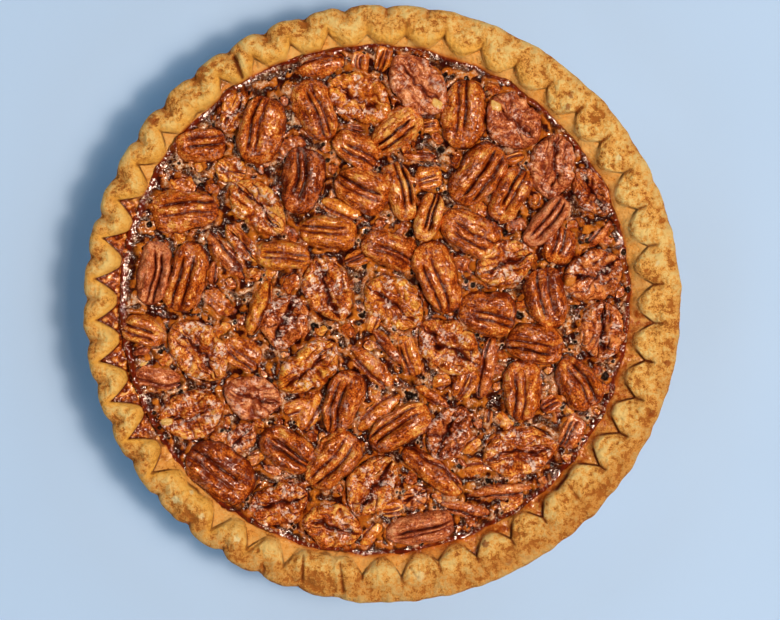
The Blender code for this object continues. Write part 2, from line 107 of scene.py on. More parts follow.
# Halves that are nodes, in the order of the nodes' names
HALVES = (
    Spot(BACK, GLAZED, -52, 74, 76, 29.5, 19.5, 0.8, tone=-0.3),
    Spot(BACK, GLAZED, -78, 67.5, 4, 22, 14.5),
    Spot(BACK, GLAZED, -84.5, 39.5, -176, 29, 18),
    Spot(FACE, GLAZED, -53.5, 41.5, 137, 31.5, 18.5, tone=0.4),
    Spot(BACK, DRY, -97.5, 13.5, 82, 28, 14.5),
    Spot(BACK, GLAZED, -83.5, 11.5, -104, 31, 16, 0.4, tone=0.5),
    Spot(BACK, AMBER, -43, 21, 176, 24, 13, tone=0.8),
    Spot(SIDE, AMBER, -53, -1.5, 70, 25, 9),
    Spot(BACK, GLAZED, -102, -11, 158, 18.5, 13, tone=0.7),
    Spot(FACE, GLAZED, -79, -19.5, -48, 32.5, 22, 0.3, nub=0.6, tone=0.5),
    Spot(FACE, DARK, -42, -7.5, 70, 25, 20.5, tone=-0.5),
    Spot(FACE, DRY, -56, -39.5, -14, 26, 19, tone=-0.3),
    Spot(FACE, GLAZED, -82, -47, -168, 30, 20.5, nub=1.0, tone=-0.6),
    Spot(BACK, GLAZED, -69.5, -71, -38, 32.5, 20.5, 0.5, tone=-0.45),
    Spot(BACK, GLAZED, -41.5, -62, -35, 25.5, 17),
    Spot(FACE, GLAZED, -45, -85.5, 18, 27.5, 19.5),
    Spot(BACK, GLAZED, -17.5, -42, 72, 29, 16, 0.3),
    Spot(FACE, AMBER, -32, -27, 38, 31.5, 19.5, 0.4, tone=-0.35),
    Spot(BACK, GLAZED, -21.5, -67, 50, 29, 18.5, 0.4, tone=-0.35),
    Spot(FACE, GLAZED, -5, -77.5, 58, 30, 21, tone=0.4),
    Spot(FACE, GLAZED, -22, -95, -10, 27, 19.5),
    Spot(BACK, GLAZED, 7, -52.5, 33, 30, 15.5, 0.6),
    Spot(SIDE, GLAZED, 21.5, -71.5, -38, 32.5, 12),
    Spot(FACE, DARK, 28, -55, -122, 26.5, 19.5),
    Spot(BACK, DRY, 15.5, -96, 10, 30.5, 13.5),
    Spot(FACE, GLAZED, 58.5, -63, -168, 33.5, 21.5, 0.3),
    Spot(BACK, AMBER, -23.5, 30.5, -4, 25, 14.5, tone=0.6),
    Spot(BACK, GLAZED, 2.5, 23.5, -20, 25, 16),
    Spot(BACK, GLAZED, 23.5, 11.5, 112, 32.5, 18.5, 0.8, tone=-0.3),
    Spot(FACE, GLAZED, -24, 6, 114, 30, 20.5, tone=-0.65),
    Spot(FACE, AMBER, 4.5, 0.5, 145, 30, 22, tone=-0.7),
    Spot(FACE, GLAZED, 28, -18.5, -38, 32.5, 21.5, 0.4, tone=-0.85),
    Spot(BACK, GLAZED, 37, 31, -28, 27.5, 18, tone=-0.3),
    Spot(FACE, GLAZED, 52, 17.5, 22, 27.5, 20.5),
    Spot(BACK, GLAZED, 44.5, -3.5, -15, 25.5, 19.5, 0.3),
    Spot(BACK, GLAZED, 70, 2.5, 102, 27, 18, 0.3, tone=-0.4),
    Spot(BACK, GLAZED, 65, -17, -8, 25.5, 17, tone=-0.9),
    Spot(BACK, DRY, 70, 35, 48, 26.5, 12, tone=1),
    Spot(FACE, DARK, 90, 12.5, -155, 28, 22, nub=0.6, tone=0.9),
    Spot(FACE, DARK, 94, -11.5, 88, 26.5, 20.5),
    Spot(BACK, GLAZED, 83.5, -34, -58, 25.5, 17, tone=-0.45),
    Spot(BACK, GLAZED, 59.5, -37, 90, 26.5, 17, 0.4, tone=-0.3),
    Spot(FACE, DARK, 89, 48, -58, 24.5, 14.5, tone=-0.8),
    Spot(BACK, GLAZED, 34, 81, 84, 30, 19, 0.6),
    Spot(FACE, DRY, 55.5, 78, 138, 28, 23, 0.4, nub=1.0, tone=-0.7),
    Spot(FACE, DRY, 72.5, 59, 82, 29, 21, 0.4, tone=-0.3),
    Spot(BACK, GLAZED, 40, 55.5, 54, 30.5, 19, 0.6, tone=0.35),
    Spot(BACK, GLAZED, 54, 46.5, 62, 25.5, 14.5, tone=-0.5),
    Spot(FACE, AMBER, -10, 88, -28, 30.5, 21.5, nub=0.5),
    Spot(FACE, DRY, 14.5, 93.5, -48, 32, 21.5, 0.6, nub=1.0),
    Spot(BACK, GLAZED, 5.5, 74.5, 42, 25, 14.5, tone=0.5),
    Spot(BACK, GLAZED, -11.5, 66.5, -32, 22, 14.5),
    Spot(BACK, GLAZED, -9, 49, -25, 25.5, 18, tone=0.45),
    Spot(BACK, GLAZED, 7, 48, 106, 26.5, 12),
    Spot(BACK, GLAZED, 19.5, 37, 74, 22, 12, tone=0.8),
    Spot(BACK, GLAZED, -29.5, 82.5, 114, 28, 17, 0.3),
    Spot(BACK, DARK, -34, 52.5, 80, 29, 18, 0.5),
)

# Pieces sunk in the filling
SUNK = (
    Spot(FACE, AMBER, -63.5, 81.5, 65, 19.5, 13, 0, 4.0),
    Spot(SIDE, DARK, -67, 20.5, -52, 25.5, 8.5, 0, 4.0),
    Spot(FACE, AMBER, -60.5, 26, -50, 21, 9.5, 0, 3.6),
    Spot(SIDE, DRY, -96.5, -31, 172, 23, 10, 0, 4.2),
    Spot(BACK, AMBER, -60.5, -20.5, -35, 19, 13.5, 0, 3.6),
    Spot(SIDE, AMBER, -31.5, -46.5, 60, 19.5, 10, 0, 3.2),
    Spot(SIDE, AMBER, -2, -45.5, 40, 25.5, 8.5, 0, 3.6),
    Spot(SIDE, DARK, 35, -88, -12, 23, 7, 0, 4.2),
    Spot(SIDE, DARK, 50.5, -80.5, 6, 30, 6.5, 0, 4.4),
    Spot(SIDE, GLAZED, -5, -27, -46, 26, 9.5, 0, 4.0),
    Spot(SIDE, DARK, 2, -19, -48, 20.5, 7, 0, 3.4),
    Spot(BACK, AMBER, 11.5, -22, -75, 19.5, 9.5, 0, 3.6),
    Spot(BACK, AMBER, 35, -34, 60, 15.5, 10.5, 0, 3.6),
    Spot(SIDE, DARK, 44.5, -27.5, 78, 28, 8, 0, 4.2),
    Spot(BACK, GLAZED, 76, 25, 72, 17, 14.5, 0, 4.0),
    Spot(SIDE, GLAZED, -26.5, 102, 12, 21.5, 10, 0, 4.0),
    Spot(SIDE, AMBER, -18, 40, -24, 19.5, 8.5, 0, 3.4),
    Spot(FACE, AMBER, -65, 57, -15, 15, 12, 0, 3.4),
    Spot(FACE, DARK, -60.5, -57, 45, 15.5, 12, 0, 3.0),
    Spot(SIDE, GLAZED, -37.5, -44.5, 18, 14.5, 8.5, 0, 2.6),
    Spot(BACK, AMBER, 4, -87.5, 15, 11, 7, 0, 2.8),
    Spot(SIDE, AMBER, -5, -98, 48, 14.5, 7, 0, 3.0),
    Spot(FACE, DARK, 13.5, -82.5, 20, 13.5, 10, 0, 2.4),
    Spot(SIDE, GLAZED, 20.5, -39.5, -32, 18.5, 6, 0, 3.0),
    Spot(BACK, AMBER, -10.5, 20, 18, 13, 7.5, 0, 2.6),
    Spot(SIDE, AMBER, -4, -7.5, 70, 10, 6.5, 0, 2.6),
    Spot(SIDE, AMBER, 25, -33.5, 20, 11, 8.5, 0, 2.8),
    Spot(BACK, DARK, 81.5, -55, 60, 17, 10.5, 0, 3.2),
    Spot(SIDE, DARK, 93.5, 30.5, 48, 17, 6, 0, 3.0),
    Spot(BACK, AMBER, 56, 63, 20, 11, 6, 0, 2.6),
    Spot(SIDE, GLAZED, 15.5, 63.5, 0, 17, 5, 0, 3.0),
    Spot(BACK, AMBER, 19.5, 54, 10, 12, 10.5, 0, 3.0),
    Spot(BACK, GLAZED, -10, 103.5, 80, 9.5, 8.5, 0, 3.0),
    Spot(BACK, AMBER, 0, 105, 75, 12.5, 7, 0, 3.0),
    Spot(BACK, AMBER, 20, 76, 10, 9, 6, 0, 2.6),
    Spot(SIDE, AMBER, 39.5, -70.5, 10, 12, 7.5, 0, 2.8),
    Spot(BACK, AMBER, 45, -49, 80, 8.5, 4, 0, 2.2),
    Spot(BACK, GLAZED, 72, -42.5, 30, 9.5, 7.5, 0, 2.6),
    Spot(SIDE, DRY, -103, -19.5, 20, 8.5, 5, 0, 2.6),
    Spot(SIDE, DARK, -72.5, 13.5, 80, 11, 5, 0, 2.6),
    Spot(SIDE, AMBER, 38, -60.5, 40, 11, 6.5, 0, 2.6),
    Spot(BACK, GLAZED, -11.5, 74.5, -15, 10, 5, 0, 2.6),
)

# Pale broken knobs that lie between the halves
KNOBS = (
    Spot(Form.CHIP, AMBER, -103, -24.3, 70, 6.0, 4.6, 0, 3.4, nub=1.0),
    Spot(Form.CHIP, AMBER, 79, -26.2, 20, 3.4, 3.0, 1.5, 3.0, nub=1.0),
)

# Bubble holes of the filling: x, y and width
BUBBLES = (
    (-72.4, 76.4, 1.6), (-63.4, 71.3, 1.5), (-86.9, 60.2, 1.8), (-88.2, 51.7, 2.0), (-77.5, 51.2, 2.2),
    (-63, 49.9, 2.0), (-69.8, 41.4, 1.5), (-40.8, 78.5, 1.6), (-44.2, 87.9, 1.4), (-51, 89.6, 1.4),
    (3.6, 84.1, 1.8), (-23.7, 61.5, 2.2), (-16.4, 60.2, 1.8), (-26.3, 91.4, 1.5), (-19.9, 80.7, 1.5),
    (24.5, 66.2, 3.4), (16.4, 69.6, 1.6), (31.4, 61.5, 1.5), (26.3, 47.8, 2.0), (-1.5, 58.1, 1.8),
    (-22, 64.5, 1.4), (-24.5, 45.7, 1.5), (0.2, 45.7, 1.4), (2.3, 38, 1.5), (-4.9, 74.3, 1.5),
    (15.6, 73.4, 1.4), (29.2, 41.8, 1.5), (14.7, 46.5, 1.4), (-56.1, 20.1, 1.5), (-63, 21.8, 1.4),
    (-93.3, 29, 1.8), (-85.6, 26, 2.0), (-75.3, 25.2, 1.8), (-78.8, -4.3, 1.6), (-63.4, -7.7, 2.2),
    (-60.4, -3.8, 1.8), (-59.1, 1.7, 1.5), (-64.7, -3.4, 1.5), (-93.3, -18.8, 1.5), (-92.4, -9, 1.4),
    (-51, 12.4, 1.5), (-45, 4.3, 1.4), (-10.5, 27.3, 1.5), (5.8, 14.5, 1.8), (12.2, 13.2, 1.5),
    (-2.3, 12, 1.4), (-33.9, 12.4, 1.5), (-11.3, 11.5, 1.4), (-7.9, -3.4, 1.5), (-10.5, -8.5, 1.4),
    (-29.2, -9.8, 4.0), (11.3, 29.9, 3.8), (3.6, -16.2, 1.5), (7.5, -29, 1.4), (17.3, -31.6, 1.6),
    (52.3, 30.7, 3.0), (44.2, 24.3, 1.8), (38.2, 8.1, 2.4), (58.7, -5.1, 4.0), (74.1, 15.4, 2.2),
    (82.6, -1.3, 2.2), (40.3, -13.2, 1.8), (42.5, -17.5, 1.6), (51, -17.5, 1.6), (79.6, 5.5, 1.8),
    (82.6, -16.2, 1.6), (77.9, -14.1, 1.5), (80, -19.6, 1.5), (98.8, -24.8, 2.0), (95.4, -31.2, 4.2),
    (42, -26, 1.5), (84.7, 26.5, 2.0), (97.5, 28.2, 2.2), (-97.5, -46.1, 1.8), (-95.4, -52.5, 2.0),
    (-55.7, -50.4, 1.5), (-42.5, -49.5, 1.4), (-38.2, -50.4, 1.5), (-68.9, -53.8, 1.8), (-14.3, -54.2, 1.6),
    (-7.9, -58.5, 1.5), (-4.5, -43.5, 1.4), (11.3, -39.3, 4.0), (-31.8, -56.8, 1.6), (28, -41.8, 2.0),
    (17.7, -54.2, 1.6), (14.7, -59.3, 1.5), (21.6, -64.5, 1.5), (-33.5, -73.4, 1.8), (20.3, -82.4, 1.6),
    (22, -87.1, 1.5), (35.6, -84.5, 1.5), (36.1, -95.6, 1.5), (77.1, -44.4, 2.0), (87.7, -48.7, 1.8),
    (40.8, -55.5, 1.5), (51, -51.7, 1.5), (55.7, -51.2, 1.6), (46.3, -47.4, 1.4), (62.5, -73.9, 1.5),
    (46.7, -76.8, 1.5), (53.1, -75.6, 1.4), (72.4, -69.2, 1.6), (75.8, -68.7, 1.4), (52.3, 58.1, 2.0),
    (61.3, 60.2, 1.8), (64.7, 68.7, 1.6),
)

# Patches of the filling thick with fine foam: x, y and reach
FOAM_PATCHES = (
    (-48, 94, 12), (-68, 70, 8), (-46, 64, 9), (36, 98, 14), (70, -34, 7), (-40, 8, 8),
    (2, 36, 6), (54, 7, 6), (-52, -66, 8), (42, -70, 8), (30, -52, 7), (-92, 60, 9),
)


class WaveNoise:
    """Smooth noise on a plane: f(p) = sqrt(2/n) * sum of sin(k_i . p + phase_i) over seeded waves k_i.

    The waves run every way in space, and the plane cuts them slantwise.
    """

    SPREAD = 0.45
    COUNT = 22

    def __init__(self, seed: int, wavelength: float) -> None:
        """Draw the waves, whose lengths stray by the spread from a middle length in millimetres.

        Args:
            seed: seed of the draw.
            wavelength: the waves' middle length.
        """
        rng = np.random.default_rng(seed)
        direction = rng.normal(size=(self.COUNT, 3))
        direction /= np.linalg.norm(direction, axis=1, keepdims=True)
        length = wavelength * rng.uniform(1.0 - self.SPREAD, 1.0 + self.SPREAD, self.COUNT)
        self.waves = direction * (2.0 * np.pi / length)[:, None]
        self.phases = rng.uniform(0.0, 2.0 * np.pi, self.COUNT)

    def __call__(self, x: Array, y: Array | float) -> Array:
        """Noise at points, about -2 to 2.

        Args:
            x, y: places on the plane.

        Returns:
            The noise there.
        """
        x, y = np.broadcast_arrays(x, y)
        total = np.zeros(x.shape)
        for (east, north, _), phase in zip(self.waves, self.phases):
            total += np.sin(east * x + north * y + phase)
        return total * math.sqrt(2.0 / self.COUNT)


def unit(value: Array) -> Array:
    """A value held between 0 and 1."""
    return np.clip(value, 0.0, 1.0)


def dome(value: Array, power: float) -> Array:
    """1 - |value|^power, 1 in the middle and 0 from 1 outwards."""
    return unit(1.0 - np.abs(value) ** power)


def ease(value: Array) -> Array:
    """Smoothstep: t*t*(3-2t) of a value held between 0 and 1."""
    value = unit(value)
    return value * value * (3.0 - 2.0 * value)


def bell(value: Array, width: float | Array) -> Array:
    """exp(-(value/width)^2)."""
    return np.exp(-((value / width) ** 2))


def flat(radius: Array | float, angle: Array) -> Pair:
    """East and north of places given by their radius and angle."""
    return radius * np.cos(angle), radius * np.sin(angle)


def facing(angle: Array, degrees: float) -> Array:
    """How nearly an angle points in a direction: 1 towards it, -1 away from it."""
    return np.cos(angle - math.radians(degrees))


def away_from(x: Array, y: Array, degrees: float, radius: float) -> Array:
    """Distance of places from the one at a direction and radius."""
    turn = math.radians(degrees)
    return np.hypot(x - radius * math.cos(turn), y - radius * math.sin(turn))


def crests(height: Array, reach: int, depth: float, wrapped: bool = False) -> Array:
    """How far each point of a grid stands over the mean of those around it.

    Args:
        height: heights, rows by columns.
        reach: how many neighbours a side the mean takes in.
        depth: difference that counts as 1.
        wrapped: whether the last column joins the first.

    Returns:
        -1 in a hollow to 1 on a crest.
    """
    padded = np.pad(height, ((reach, reach), (0, 0)), mode="edge")
    mean = sum(padded[i : i + len(height)] for i in range(2 * reach + 1)) / (2 * reach + 1)
    padded = np.pad(mean, ((0, 0), (reach, reach)), mode="wrap" if wrapped else "edge")
    mean = sum(padded[:, i : i + height.shape[1]] for i in range(2 * reach + 1)) / (2 * reach + 1)
    return np.clip((height - mean) / depth, -1.0, 1.0)


class MeshMaker:
    """Turns numpy surfaces into Blender meshes."""

    @staticmethod
    def ring_faces(rows: int, columns: int) -> Array:
        """Quads of a grid of points, rows by columns, whose last column joins the first.

        Args:
            rows, columns: size of the grid.

        Returns:
            Four vertex indices for each quad.
        """
        r, c = np.meshgrid(np.arange(rows - 1), np.arange(columns), indexing="ij")
        here = r * columns + c
        beside = r * columns + (c + 1) % columns
        return np.stack([here, beside, beside + columns, here + columns], -1).reshape(-1, 4)

    @staticmethod
    def fan(ring: Array, pole: int, flip: bool) -> Array:
        """Triangles that close a ring of points on one pole.

        Args:
            ring: vertex indices round the ring.
            pole: index of the pole.
            flip: turn them the other way.

        Returns:
            Three vertex indices for each triangle.
        """
        after = np.roll(ring, -1)
        middle = np.full(len(ring), pole)
        return np.stack([after, ring, middle] if flip else [ring, after, middle], -1)

    @staticmethod
    def build(name: str, points: Array, faces: list, attributes: Values) -> bpy.types.Object:
        """A smooth mesh object from points in millimetres.

        Args:
            name: name of the object.
            points: an array of places, three numbers each.
            faces: arrays of vertex indices, one array for each count of corners.
            attributes: a value for every point, by name.

        Returns:
            The new object, linked to the scene.
        """
        mesh = bpy.data.meshes.new(name)
        corners = []
        for part in faces:
            corners.extend(part.tolist())
        mesh.from_pydata((points * MM).tolist(), [], corners)
        for key, values in attributes.items():
            kind, field = ("FLOAT_VECTOR", "vector") if values.ndim == 2 else ("FLOAT", "value")
            layer = mesh.attributes.new(key, kind, "POINT")
            layer.data.foreach_set(field, np.ascontiguousarray(values, dtype=np.float32).ravel())
        mesh.shade_smooth()
        obj = bpy.data.objects.new(name, mesh)
        bpy.context.scene.collection.objects.link(obj)
        return obj

    @classmethod
    def tube(cls, name: str, rings: Array, first: Array, last: Array, values: Values) -> bpy.types.Object:
        """A closed piece; the arguments after its name are those of tube_parts."""
        return cls.build(name, *cls.tube_parts(rings, first, last, values))

    @classmethod
    def tube_parts(cls, rings: Array, first: Array, last: Array, values: Values, flip: bool = False) -> tuple:
        """Rings of points closed by two poles.

        Args:
            rings: points, rows by columns by three.
            first, last: the poles before the first and after the last ring.
            values: for every attribute, its values on the rings, rows by columns.
            flip: turn the faces the other way.

        Returns:
            Points, faces and attributes, as build takes them.
        """
        rows, columns = rings.shape[:2]
        count = rows * columns
        points = np.concatenate([rings.reshape(-1, 3), [first, last]])
        quads = cls.ring_faces(rows, columns)
        if flip:
            quads = quads[:, ::-1]
        start = cls.fan(np.arange(columns), count, not flip)
        end = cls.fan(np.arange(count - columns, count), count + 1, flip)
        attributes = {}
        for key, grid in values.items():
            ends = np.stack([grid[0].mean(axis=0), grid[-1].mean(axis=0)])
            attributes[key] = np.concatenate([grid.reshape(count, *grid.shape[2:]), ends])
        return points, [quads, np.concatenate([start, end])], attributes


class Socket:
    """A shader value with arithmetic: each operator adds a Math node."""

    def __init__(self, graph: "Graph", socket: bpy.types.NodeSocket) -> None:
        """Wrap a socket of a graph."""
        self.graph = graph
        self.socket = socket

    def _math(self, operation: str, *values: "Socket | float") -> "Socket":
        """One Math node over values."""
        return self.graph.node("ShaderNodeMath", {"operation": operation}, dict(enumerate(values)))

    def __add__(self, other: "Socket | float") -> "Socket":
        """Sum."""
        return self._math("ADD", self, other)

    def __sub__(self, other: "Socket | float") -> "Socket":
        """Difference."""
        return self._math("SUBTRACT", self, other)

    def __rsub__(self, other: float) -> "Socket":
        """Difference, reflected."""
        return self._math("SUBTRACT", other, self)

    def __mul__(self, other: "Socket | float") -> "Socket":
        """Product."""
        return self._math("MULTIPLY", self, other)

    __radd__ = __add__
    __rmul__ = __mul__

    def clamp(self) -> "Socket":
        """Held between 0 and 1."""
        return self.graph.node("ShaderNodeClamp", {}, {"Value": self})

    def ramp(self, low: float, high: float) -> "Socket":
        """0 at low, 1 at high, eased between.

        Args:
            low, high: values where the ramp starts and ends.

        Returns:
            The eased share.
        """
        return self.graph.node(
            "ShaderNodeMapRange",
            {"interpolation_type": "SMOOTHSTEP"},
            {"Value": self, "From Min": low, "From Max": high},
        )


class Graph:
    """A material's nodes, with short ways to add them."""

    def __init__(self, name: str, preview: Colour) -> None:
        """An empty material.

        Args:
            name: name of the material.
            preview: colour shown in solid view.
        """
        self.material = bpy.data.materials.new(name)
        self.material.use_nodes = True
        self.material.diffuse_color = (*preview, 1.0)
        self.tree = self.material.node_tree
        self.tree.nodes.clear()
        self.place = self.node("ShaderNodeTexCoord", {}, {}, "Object")

    def node(self, kind: str, settings: dict, inputs: dict, output: str | int = 0) -> Socket:
        """Add a node.

        Args:
            kind: type of node.
            settings: its properties, set first.
            inputs: values or Sockets by the input's name or number.
            output: name or number of the output to return.

        Returns:
            The output, wrapped.
        """
        node = self.tree.nodes.new(kind)
        for key, value in settings.items():
            setattr(node, key, value)
        for key, value in inputs.items():
            if isinstance(value, Socket):
                self.tree.links.new(value.socket, node.inputs[key])
            else:
                node.inputs[key].default_value = value
        return Socket(self, node.outputs[output])

    def attribute(self, name: str, output: str = "Fac") -> Socket:
        """A value kept on the mesh, or with the output Vector three of them."""
        return self.node("ShaderNodeAttribute", {"attribute_name": name}, {}, output)

    def attributes(self, *names: str) -> list[Socket]:
        """Several values kept on the mesh."""
        return [self.attribute(name) for name in names]

    def stretched(self, x: float, y: float, z: float, where: Socket | None = None) -> Socket:
        """Coordinates scaled along each axis."""
        return self.node("ShaderNodeMapping", {}, {"Vector": where or self.place, "Scale": (x, y, z)})

    def warped(self, scale: float, reach: float) -> Socket:
        """Object coordinates moved by noise, with scale in turns per metre, by up to half a reach.

        Args:
            scale: fineness of the noise.
            reach: twice the furthest move, metres.

        Returns:
            The moved coordinates.
        """
        inputs = {"Vector": self.place, "Scale": scale, "Detail": 2.0}
        noise = self.node("ShaderNodeTexNoise", {}, inputs, "Color")
        moved = {0: noise, 1: (reach, reach, reach), 2: self.place}
        return self.node("ShaderNodeVectorMath", {"operation": "MULTIPLY_ADD"}, moved)

    def noise(
        self, scale: float, detail: float = 3.0, roughness: float = 0.55, where: Socket | None = None
    ) -> Socket:
        """Fractal noise, 0 to 1, with scale in turns per metre."""
        inputs = {"Vector": where or self.place, "Scale": scale, "Detail": detail, "Roughness": roughness}
        return self.node("ShaderNodeTexNoise", {}, inputs, "Fac")

    def cells(self, scale: float, where: Socket) -> Socket:
        """Distance from the middle of Voronoi cells."""
        inputs = {"Vector": where, "Scale": scale}
        return self.node("ShaderNodeTexVoronoi", {"feature": "F1"}, inputs, "Distance")

    def mix(self, share: Socket | float, low: Socket | tuple, high: Socket | tuple) -> Socket:
        """A colour between two.

        Args:
            share: how much of the second shows, 0 to 1.
            low, high: the two colours.

        Returns:
            The mixed colour.
        """
        settings = {"data_type": "RGBA", "clamp_factor": True}
        inputs = {0: share, 6: self._colour(low), 7: self._colour(high)}
        return self.node("ShaderNodeMix", settings, inputs, 2)

    def paint(self, base: Socket | Colour, *layers: tuple[Socket, Socket | Colour]) -> Socket:
        """A base colour with others laid over it in turn, each by its share held between 0 and 1.

        Args:
            base: the lowest colour.
            layers: each layer's share and colour.

        Returns:
            The top's colour.
        """
        for share, over in layers:
            base = self.mix(share, base, over)
        return base

    @staticmethod
    def _colour(value: Socket | tuple) -> Socket | tuple:
        """Give a colour its alpha."""
        return value if isinstance(value, Socket) else (*value, 1.0)

    def bump(self, height: Socket, distance: float, strength: float = 1.0) -> Socket:
        """A normal from a height in units of distance, metres."""
        inputs = {"Height": height, "Distance": distance, "Strength": strength}
        return self.node("ShaderNodeBump", {}, inputs, "Normal")

    def skin(self, linked: dict, constant: dict) -> Socket:
        """A Principled shader.

        Args:
            linked: Sockets by input name.
            constant: plain numbers by input name.

        Returns:
            Its output.
        """
        return self.node("ShaderNodeBsdfPrincipled", {}, {**constant, **linked}, "BSDF")

    def surface(self, shader: Socket) -> bpy.types.Material:
        """Close the graph.

        Args:
            shader: the finished shader.

        Returns:
            The material.
        """
        output = self.tree.nodes.new("ShaderNodeOutputMaterial")
        self.tree.links.new(shader.socket, output.inputs["Surface"])
        return self.material

    def coated(self, colour: Socket, matt: tuple, glossy: tuple, share: Socket) -> bpy.types.Material:
        """Close the graph with a matt skin and a glossy one over part of it.

        Args:
            colour: colour of both.
            matt: roughness, normal and specular level of the matt skin.
            glossy: roughness, normal and specular tint of the glossy one.
            share: how much of the glossy skin shows.

        Returns:
            The material.
        """
        dull = {"Base Color": colour, "Roughness": matt[0], "Normal": matt[1]}
        shiny = {"Base Color": colour, "Roughness": glossy[0], "Normal": glossy[1]}
        under = self.skin(dull, {"Specular IOR Level": matt[2]})
        over = self.skin(shiny, {"Specular IOR Level": 1.0, "Specular Tint": (*glossy[2], 1.0)})
        return self.surface(self.node("ShaderNodeMixShader", {}, {0: share, 1: under, 2: over}))


def srgb(red: float, green: float, blue: float) -> Colour:
    """Linear colour of an 8-bit screen colour, by the sRGB curve."""
    shares = (red / 255, green / 255, blue / 255)
    return tuple(c / 12.92 if c <= 0.04045 else ((c + 0.055) / 1.055) ** 2.4 for c in shares)


@dataclass(frozen=True)
class NutFinish:
    """Skin of a pecan half: its colours, roughness, share of syrup and how clear its veins are."""

    light: Colour
    middle: Colour
    dark: Colour
    groove: Colour
    roughness: float
    coat: float = 1.0
    veins: float = 0.12
    knob_skin: Colour = srgb(206, 116, 34)
    knob_flesh: Colour = srgb(236, 184, 100)
    # Pale specks: partly froth, partly painted glints
    bubbles: Colour = srgb(255, 222, 200)
    tint: Colour = (1.0, 0.84, 0.74)

    def material(self, name: str) -> bpy.types.Material:
        """Toasted skin under syrup, streaked along the nut, with painted shade in the grooves and low down,
        where syrup pools too, and pale specks that are partly painted glints.

        Args:
            name: the material's name.

        Returns:
            The material.
        """
        graph = Graph(name, self.middle)
        cavity, low, knob, tone, face = graph.attributes("cavity", "low", "knob", "tone", "face")
        grain = graph.attribute("grain", "Vector")
        along = graph.stretched(0.34, 1.0, 1.0, grain)
        across = graph.stretched(1.0, 0.45, 0.45, grain)
        streak = graph.noise(480.0, 4.0, 0.65, along)
        mottle = graph.noise(170.0)
        fine = graph.noise(1250.0, 3.0, 0.65)
        weave = graph.noise(880.0, 2.0, 0.6, across)
        swirl = graph.noise(130.0, 2.0, 0.5, along) - 0.5
        vein = (1.0 - 1100.0 * swirl * swirl).clamp() * fine.ramp(0.3, 0.6)
        shade = 0.49 + 1.5 * (streak - 0.5) + 1.3 * (mottle - 0.5) + 1.7 * (fine - 0.5) + 0.16 * tone
        shade = shade + (0.2 + face) * (weave - 0.5)
        # Painted shade: darker low on the flanks, where syrup pools too
        shade = (shade - 0.50 * low.ramp(0.35, 1.0)).clamp()
        syrup = graph.noise(130.0, 3.0, 0.6).ramp(0.36, 0.50) * self.coat * (1.0 - 0.8 * low.ramp(0.5, 1.0))
        # Where the pale specks go: partly froth, partly painted glints
        froth = graph.noise(240.0, 2.0, 0.5).ramp(0.50, 0.60) * weave.ramp(0.46, 0.56)
        colour = graph.paint(
            self.dark,
            (shade.ramp(0.10, 0.52), self.middle),
            (shade.ramp(0.50, 0.86) * (1.0 - cavity), self.light),
            (vein * face * self.veins, self.dark),
            # Painted shade in the grooves and hollows and low on the flanks
            (cavity.ramp(0.05, 0.60) * (0.50 + 1.2 * fine), self.dark),
            (cavity.ramp(0.45, 1.0) * (0.40 + 1.2 * fine), self.groove),
            (low.ramp(0.62, 1.0) * (0.25 + 1.3 * mottle), self.groove),
            (knob.ramp(0.0, 0.5), self.knob_skin),
            (knob.ramp(0.5, 1.0), self.knob_flesh),
            (syrup * froth * (0.16 + 0.64 * face), self.bubbles),
        )
        pleats = (0.3 + 0.8 * face) * graph.noise(700.0, 0.0, 0.5, across)
        puckers = 0.6 * graph.noise(520.0, 0.0, 0.5)
        bare = graph.bump(0.7 * fine + 0.6 * streak + 0.8 * weave, 0.0006, 0.8)
        glazed = graph.bump(pleats + puckers + 0.4 * streak + 0.5 * fine, 0.0003, 0.65)
        matt = (self.roughness + 0.30 * (fine - 0.5)).clamp(), bare, 0.05
        glossy = (0.16 + 0.12 * (fine - 0.5)).clamp(), glazed, self.tint
        return graph.coated(colour, matt, glossy, syrup * (1.0 - 0.6 * cavity.ramp(0.4, 0.9)))


FINISHES = {
    GLAZED: NutFinish(srgb(255, 182, 86), srgb(208, 98, 26), srgb(114, 34, 7), srgb(52, 8, 2), 0.50),
    AMBER: NutFinish(srgb(255, 184, 76), srgb(222, 116, 32), srgb(134, 46, 9), srgb(60, 11, 3), 0.45),
    DARK: NutFinish(srgb(244, 150, 76), srgb(186, 84, 28), srgb(96, 24, 6), srgb(42, 6, 2), 0.45),
    DRY: NutFinish(
        srgb(250, 168, 110), srgb(208, 110, 59), srgb(130, 48, 22), srgb(60, 13, 5), 0.55, 0.5, 0.85
    ),
}


